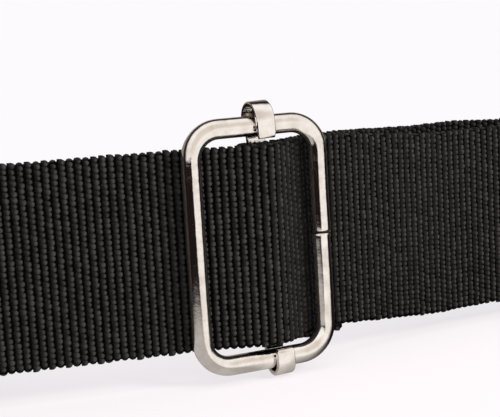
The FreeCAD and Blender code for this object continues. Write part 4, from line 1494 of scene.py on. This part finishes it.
@dataclass(frozen=True)
class Stamp:
    """A small form that is repeated on a surface: its size, and the name of its row."""

    name: str
    length: float
    width: float
    height: float
    ends: float = 0.35

    def shape(self) -> bpy.types.Object:
        """A bar of unit size with rounded back and ends, its foot at the origin."""
        half = [(-0.5, -0.4, 0.5, 1.0), (-0.5 + self.ends * 0.3, 0.45, 0.85, 1.0),
                (-0.5 + self.ends, 0.94, 1.0, 1.0)]
        profile = half + [(0.0, 1.0, 1.0, 1.0)] + [(-row[0],) + row[1:] for row in reversed(half)]
        return yarn_hump(self.name + "_shape", profile, 1.1)

    def row(self, places: list[Hump], material: bpy.types.Material) -> bpy.types.Object:
        """Set the form on every place.

        Args:
            places: Where each one sits.
            material: Its finish.

        Returns:
            One plain mesh with all of them.
        """
        shape = self.shape()
        seeds = point_cloud(self.name, places)
        tree, given = start_tree("stamped_row", {
            "Shape": ("NodeSocketObject", None), "Length": ("NodeSocketFloat", self.length),
            "Width": ("NodeSocketFloat", self.width), "Height": ("NodeSocketFloat", self.height),
            "Seed": ("NodeSocketInt", 3),
        })
        turn = add_node(tree, "GeometryNodeInputNamedAttribute", {"Name": "turn"}, data_type="FLOAT_VECTOR")
        rotation = add_node(tree, "FunctionNodeEulerToRotation", {0: turn.outputs["Attribute"]})
        grade = add_node(tree, "GeometryNodeInputNamedAttribute", {"Name": "grade"}, data_type="FLOAT")
        chance = add_node(tree, "FunctionNodeRandomValue", {2: 0.98, 3: 1.02, "Seed": given.outputs["Seed"]},
                          data_type="FLOAT")
        size = add_node(tree, "ShaderNodeMath", {0: chance.outputs[1], 1: grade.outputs["Attribute"]},
                        operation="MULTIPLY")
        full = add_node(tree, "ShaderNodeCombineXYZ", {
            "X": given.outputs["Length"], "Y": given.outputs["Width"], "Z": given.outputs["Height"]})
        scale = add_node(tree, "ShaderNodeVectorMath", {
            0: full.outputs["Vector"], "Scale": size.outputs["Value"]}, operation="SCALE")
        info = add_node(tree, "GeometryNodeObjectInfo", {"Object": given.outputs["Shape"]})
        stamp = add_node(tree, "GeometryNodeInstanceOnPoints", {
            "Points": given.outputs["Geometry"], "Instance": info.outputs["Geometry"],
            "Rotation": rotation.outputs["Rotation"], "Scale": scale.outputs["Vector"]})
        real = add_node(tree, "GeometryNodeRealizeInstances", {"Geometry": stamp.outputs["Instances"]})
        dressed = add_node(tree, "GeometryNodeSetMaterial", {
            "Geometry": real.outputs["Geometry"], "Material": material})
        add_node(tree, "NodeGroupOutput", {"Geometry": dressed.outputs["Geometry"]})
        give_tree(seeds, tree, {"Shape": shape})
        made = baked(seeds, self.name)
        bpy.data.objects.remove(shape)
        return made


def set_down(spot: Vector, along: Vector, out: Vector) -> Hump:
    """A place for a stamp that runs along one way and stands up along another."""
    basis = Matrix((along, out.cross(along), out)).transposed()
    return Hump(spot, basis.to_euler(), 1.0, False)


def solids_of(node: bpy.types.Object) -> list[list[Vector]]:
    """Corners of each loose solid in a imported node.

    Args:
        node: The node's object.

    Returns:
        One list of corners per solid.
    """
    shell = bmesh.new()
    shell.from_mesh(node.data)
    bmesh.ops.remove_doubles(shell, verts=shell.verts, dist=0.001 * MM)
    waiting = set(shell.verts)
    groups = []
    while waiting:
        open_ends = [waiting.pop()]
        group = []
        while open_ends:
            corner = open_ends.pop()
            group.append(node.matrix_world @ corner.co)
            for edge in corner.link_edges:
                other = edge.other_vert(corner)
                if other in waiting:
                    waiting.remove(other)
                    open_ends.append(other)
        groups.append(group)
    shell.free()
    return groups


@dataclass
class Stitching:
    """Rows of thread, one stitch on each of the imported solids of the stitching."""

    layout: BeltLayout
    thread: Stamp = Stamp("stitch", 3.0 * MM, 0.78 * MM, 0.42 * MM)

    def rows(self, node: bpy.types.Object, outward: Vector, splits: bool) -> list[Hump]:
        """Places of the stitches.

        Args:
            node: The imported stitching.
            outward: The way the thread faces.
            splits: Whether the far half faces outward and the near half the other way.
        """
        groups = solids_of(node)
        middles = [sum(group, Vector()) / len(group) for group in groups]
        half = sum(middle.dot(outward) for middle in middles) / len(middles)
        places = []
        for group, middle in zip(groups, middles):
            out = outward if not splits or middle.dot(outward) > half else -outward
            far = max(group, key=lambda corner: (corner - middle).length)
            other = max(group, key=lambda corner: (corner - far).length)
            along = other - far
            along = (along - out * along.dot(out)).normalized()
            foot = min(corner.dot(out) for corner in group)
            places.append(set_down(middle + out * (foot - middle.dot(out)), along, out))
        return places

    def build(self, frame: dict, finishes: Finishes) -> None:
        """Make both seams."""
        seams = (
            ("bar_loop_stitching", left_of(self.layout.right_way), False, "slider_group"),
            ("female_loop_stitching", Vector((0, 1, 0)), True, "belt_left"),
        )
        for name, outward, splits, body in seams:
            places = self.rows(frame["nodes"][name], outward, splits)
            made = self.thread.row(places, finishes.thread)
            made.name = "thread_" + name
            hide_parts(name)
            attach(made, body)
            log.info("%s: %d stitches", made.name, len(places))


@dataclass
class BuckleDetail:
    """What the buckle's moulds add to its plain solids: grip ribs, raised borders and a spine."""

    rib: Stamp = Stamp("grip_rib", 8.0 * MM, 1.0 * MM, 0.5 * MM, 0.06)
    pad_rib: Stamp = Stamp("pad_rib", 6.0 * MM, 0.9 * MM, 0.4 * MM, 0.08)
    rib_pitch: float = 2.0 * MM
    border: float = 0.45 * MM
    border_spread: float = 1.3
    border_around: int = 8
    border_inset: float = 3.2 * MM
    shell_ribs: int = 9
    shell_end_gap: float = 1.2 * MM
    border_margin: float = 6 * MM
    border_corner: float = 4 * MM
    shell_rib_gap: float = 3 * MM
    shell_rib_rise: float = 13 * MM
    base_ribs: int = 3
    base_rib_gap: float = 3.2 * MM
    base_rib_rise: float = 18 * MM
    spine_end_gap: float = 4 * MM
    spine_off: float = 2.0 * MM
    pad_ribs: int = 4
    pad_from_tip: float = 15.4 * MM

    def ring(self, name: str, low: Vector, high: Vector, y: float, corner: float) -> bpy.types.Mesh:
        """A raised border of half-round section on a face that looks along Y.

        Args:
            name: The mesh's name.
            low: Lower left corner, with X and Z in use.
            high: Upper right corner.
            y: The face's place.
            corner: Radius of the border's corners.
        """
        path = []
        for sx, sz, first in ((1, 1, 0), (-1, 1, 90), (-1, -1, 180), (1, -1, 270)):
            centre = Vector(((high.x if sx > 0 else low.x) - sx * corner, y,
                             (high.z if sz > 0 else low.z) - sz * corner))
            for i in range(7):
                angle = math.radians(first + 15 * i)
                path.append((centre, Vector((math.cos(angle), 0, math.sin(angle)))))
        points = []
        around = self.border_around
        for centre, way in path:
            for j in range(around):
                angle = 2 * math.pi * j / around
                off = way * (corner + math.cos(angle) * self.border * self.border_spread)
                points.append(centre + off + Vector((0, math.sin(angle) * self.border, 0)))
        faces = ring_faces(len(path), around, capped=False)
        last = (len(path) - 1) * around
        faces += [[last + j, last + (j + 1) % around, (j + 1) % around, j] for j in range(around)]
        return mesh_from(name, points, faces)

    def add(self, made: bpy.types.Object, name: str, body: str, finishes: Finishes) -> None:
        """Name a detail, give it the buckle's plastic and let it move with its body."""
        made.name = name
        if not made.data.materials:
            made.data.materials.append(finishes.plastic)
        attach(made, body)
        log.info("%s: %d triangles", name, triangle_count(made))

    def build(self, frame: dict, finishes: Finishes) -> None:
        """Dress the four mouldings."""
        for name in ("buckle_male", "male_arm_upper", "male_arm_lower", "buckle_female"):
            node = frame["nodes"][name]
            node.data.materials.clear()
            node.data.materials.append(finishes.plastic)
        self.dress_socket(finishes)
        self.dress_plug(finishes)
        self.dress_arms(finishes)

    def dress_socket(self, finishes: Finishes) -> None:
        """A raised border and grip ribs on both faces of the shell."""
        low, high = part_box("buckle_female")
        run_low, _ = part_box("webbing_female_turn")
        shell_end = run_low.x - self.shell_end_gap
        up = Vector((0, 0, 1))
        places = []
        middle = (low.z + high.z) / 2
        for side, y in ((1, high.y), (-1, low.y)):
            out = Vector((0, side, 0))
            ring = self.ring("border",
                             Vector((low.x + self.border_inset, 0, low.z + self.border_margin)),
                             Vector((shell_end - self.border_inset, 0, high.z - self.border_margin)),
                             y, self.border_corner)
            name = "socket_border_back" if side > 0 else "socket_border_front"
            self.add(new_object(name, ring), name, "socket_half", finishes)
            first = shell_end - self.border_inset - self.shell_rib_gap
            for i in range(self.shell_ribs):
                x = first - i * self.rib_pitch
                for step in (self.shell_rib_rise, -self.shell_rib_rise):
                    places.append(set_down(Vector((x, y, middle + step)), up, out))
        self.add(self.rib.row(places, finishes.plastic), "socket_grip_ribs", "socket_half", finishes)

    def dress_plug(self, finishes: Finishes) -> None:
        """Ribs on both faces of the base, and a spine along the tongue."""
        low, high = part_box("buckle_male")
        arm_low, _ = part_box("male_arm_lower")
        middle = (low.z + high.z) / 2
        up = Vector((0, 0, 1))
        along = Vector((1, 0, 0))
        centre_y = (low.y + high.y) / 2
        places = []
        for side, y in ((1, high.y), (-1, low.y)):
            out = Vector((0, side, 0))
            for i in range(self.base_ribs):
                x = arm_low.x - self.base_rib_gap - i * self.rib_pitch
                for step in (-self.base_rib_rise, 0.0, self.base_rib_rise):
                    places.append(set_down(Vector((x, y, middle + step)), up, out))
        self.add(self.rib.row(places, finishes.plastic), "plug_grip_ribs", "plug_half", finishes)
        spine = Stamp("tongue_spine", high.x - arm_low.x - self.spine_end_gap, 1.6 * MM, 0.8 * MM, 0.03)
        centre_x = (high.x + arm_low.x) / 2
        places = [set_down(Vector((centre_x, centre_y + side * self.spine_off, middle)), along,
                           Vector((0, side, 0))) for side in (1, -1)]
        self.add(spine.row(places, finishes.plastic), "plug_tongue_spine", "plug_half", finishes)

    def dress_arms(self, finishes: Finishes) -> None:
        """Ribs across the thumb pad of each arm."""
        arms = (("male_arm_upper", "plug_arm_upper", 1), ("male_arm_lower", "plug_arm_lower", -1))
        for name, body, sign in arms:
            low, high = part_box(name)
            z = high.z if sign > 0 else low.z
            centre_y = (low.y + high.y) / 2
            first = high.x - self.pad_from_tip
            places = [set_down(Vector((first + i * self.rib_pitch, centre_y, z)), Vector((0, 1, 0)),
                               Vector((0, 0, sign))) for i in range(self.pad_ribs)]
            self.add(self.pad_rib.row(places, finishes.plastic), name + "_pad_ribs", body, finishes)


def main() -> None:
    """Build the belt in order and write how large it came out."""
    logging.basicConfig(level=logging.INFO, format="%(name)s: %(message)s")
    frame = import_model()
    bpy.context.scene.view_settings.view_transform = "Standard"
    Studio().build()
    finishes = make_finishes()
    layout = BeltLayout()
    for piece in Webbing(layout).build(finishes):
        log.info("woven %s", piece.name)
    slider = WireSlider(layout)
    log.info("bent %s", slider.build_frame(finishes).name)
    log.info("hooked %s", slider.build_bar(finishes).name)
    Stitching(layout).build(frame, finishes)
    BuckleDetail().build(frame, finishes)


if __name__ == "__main__":
    main()
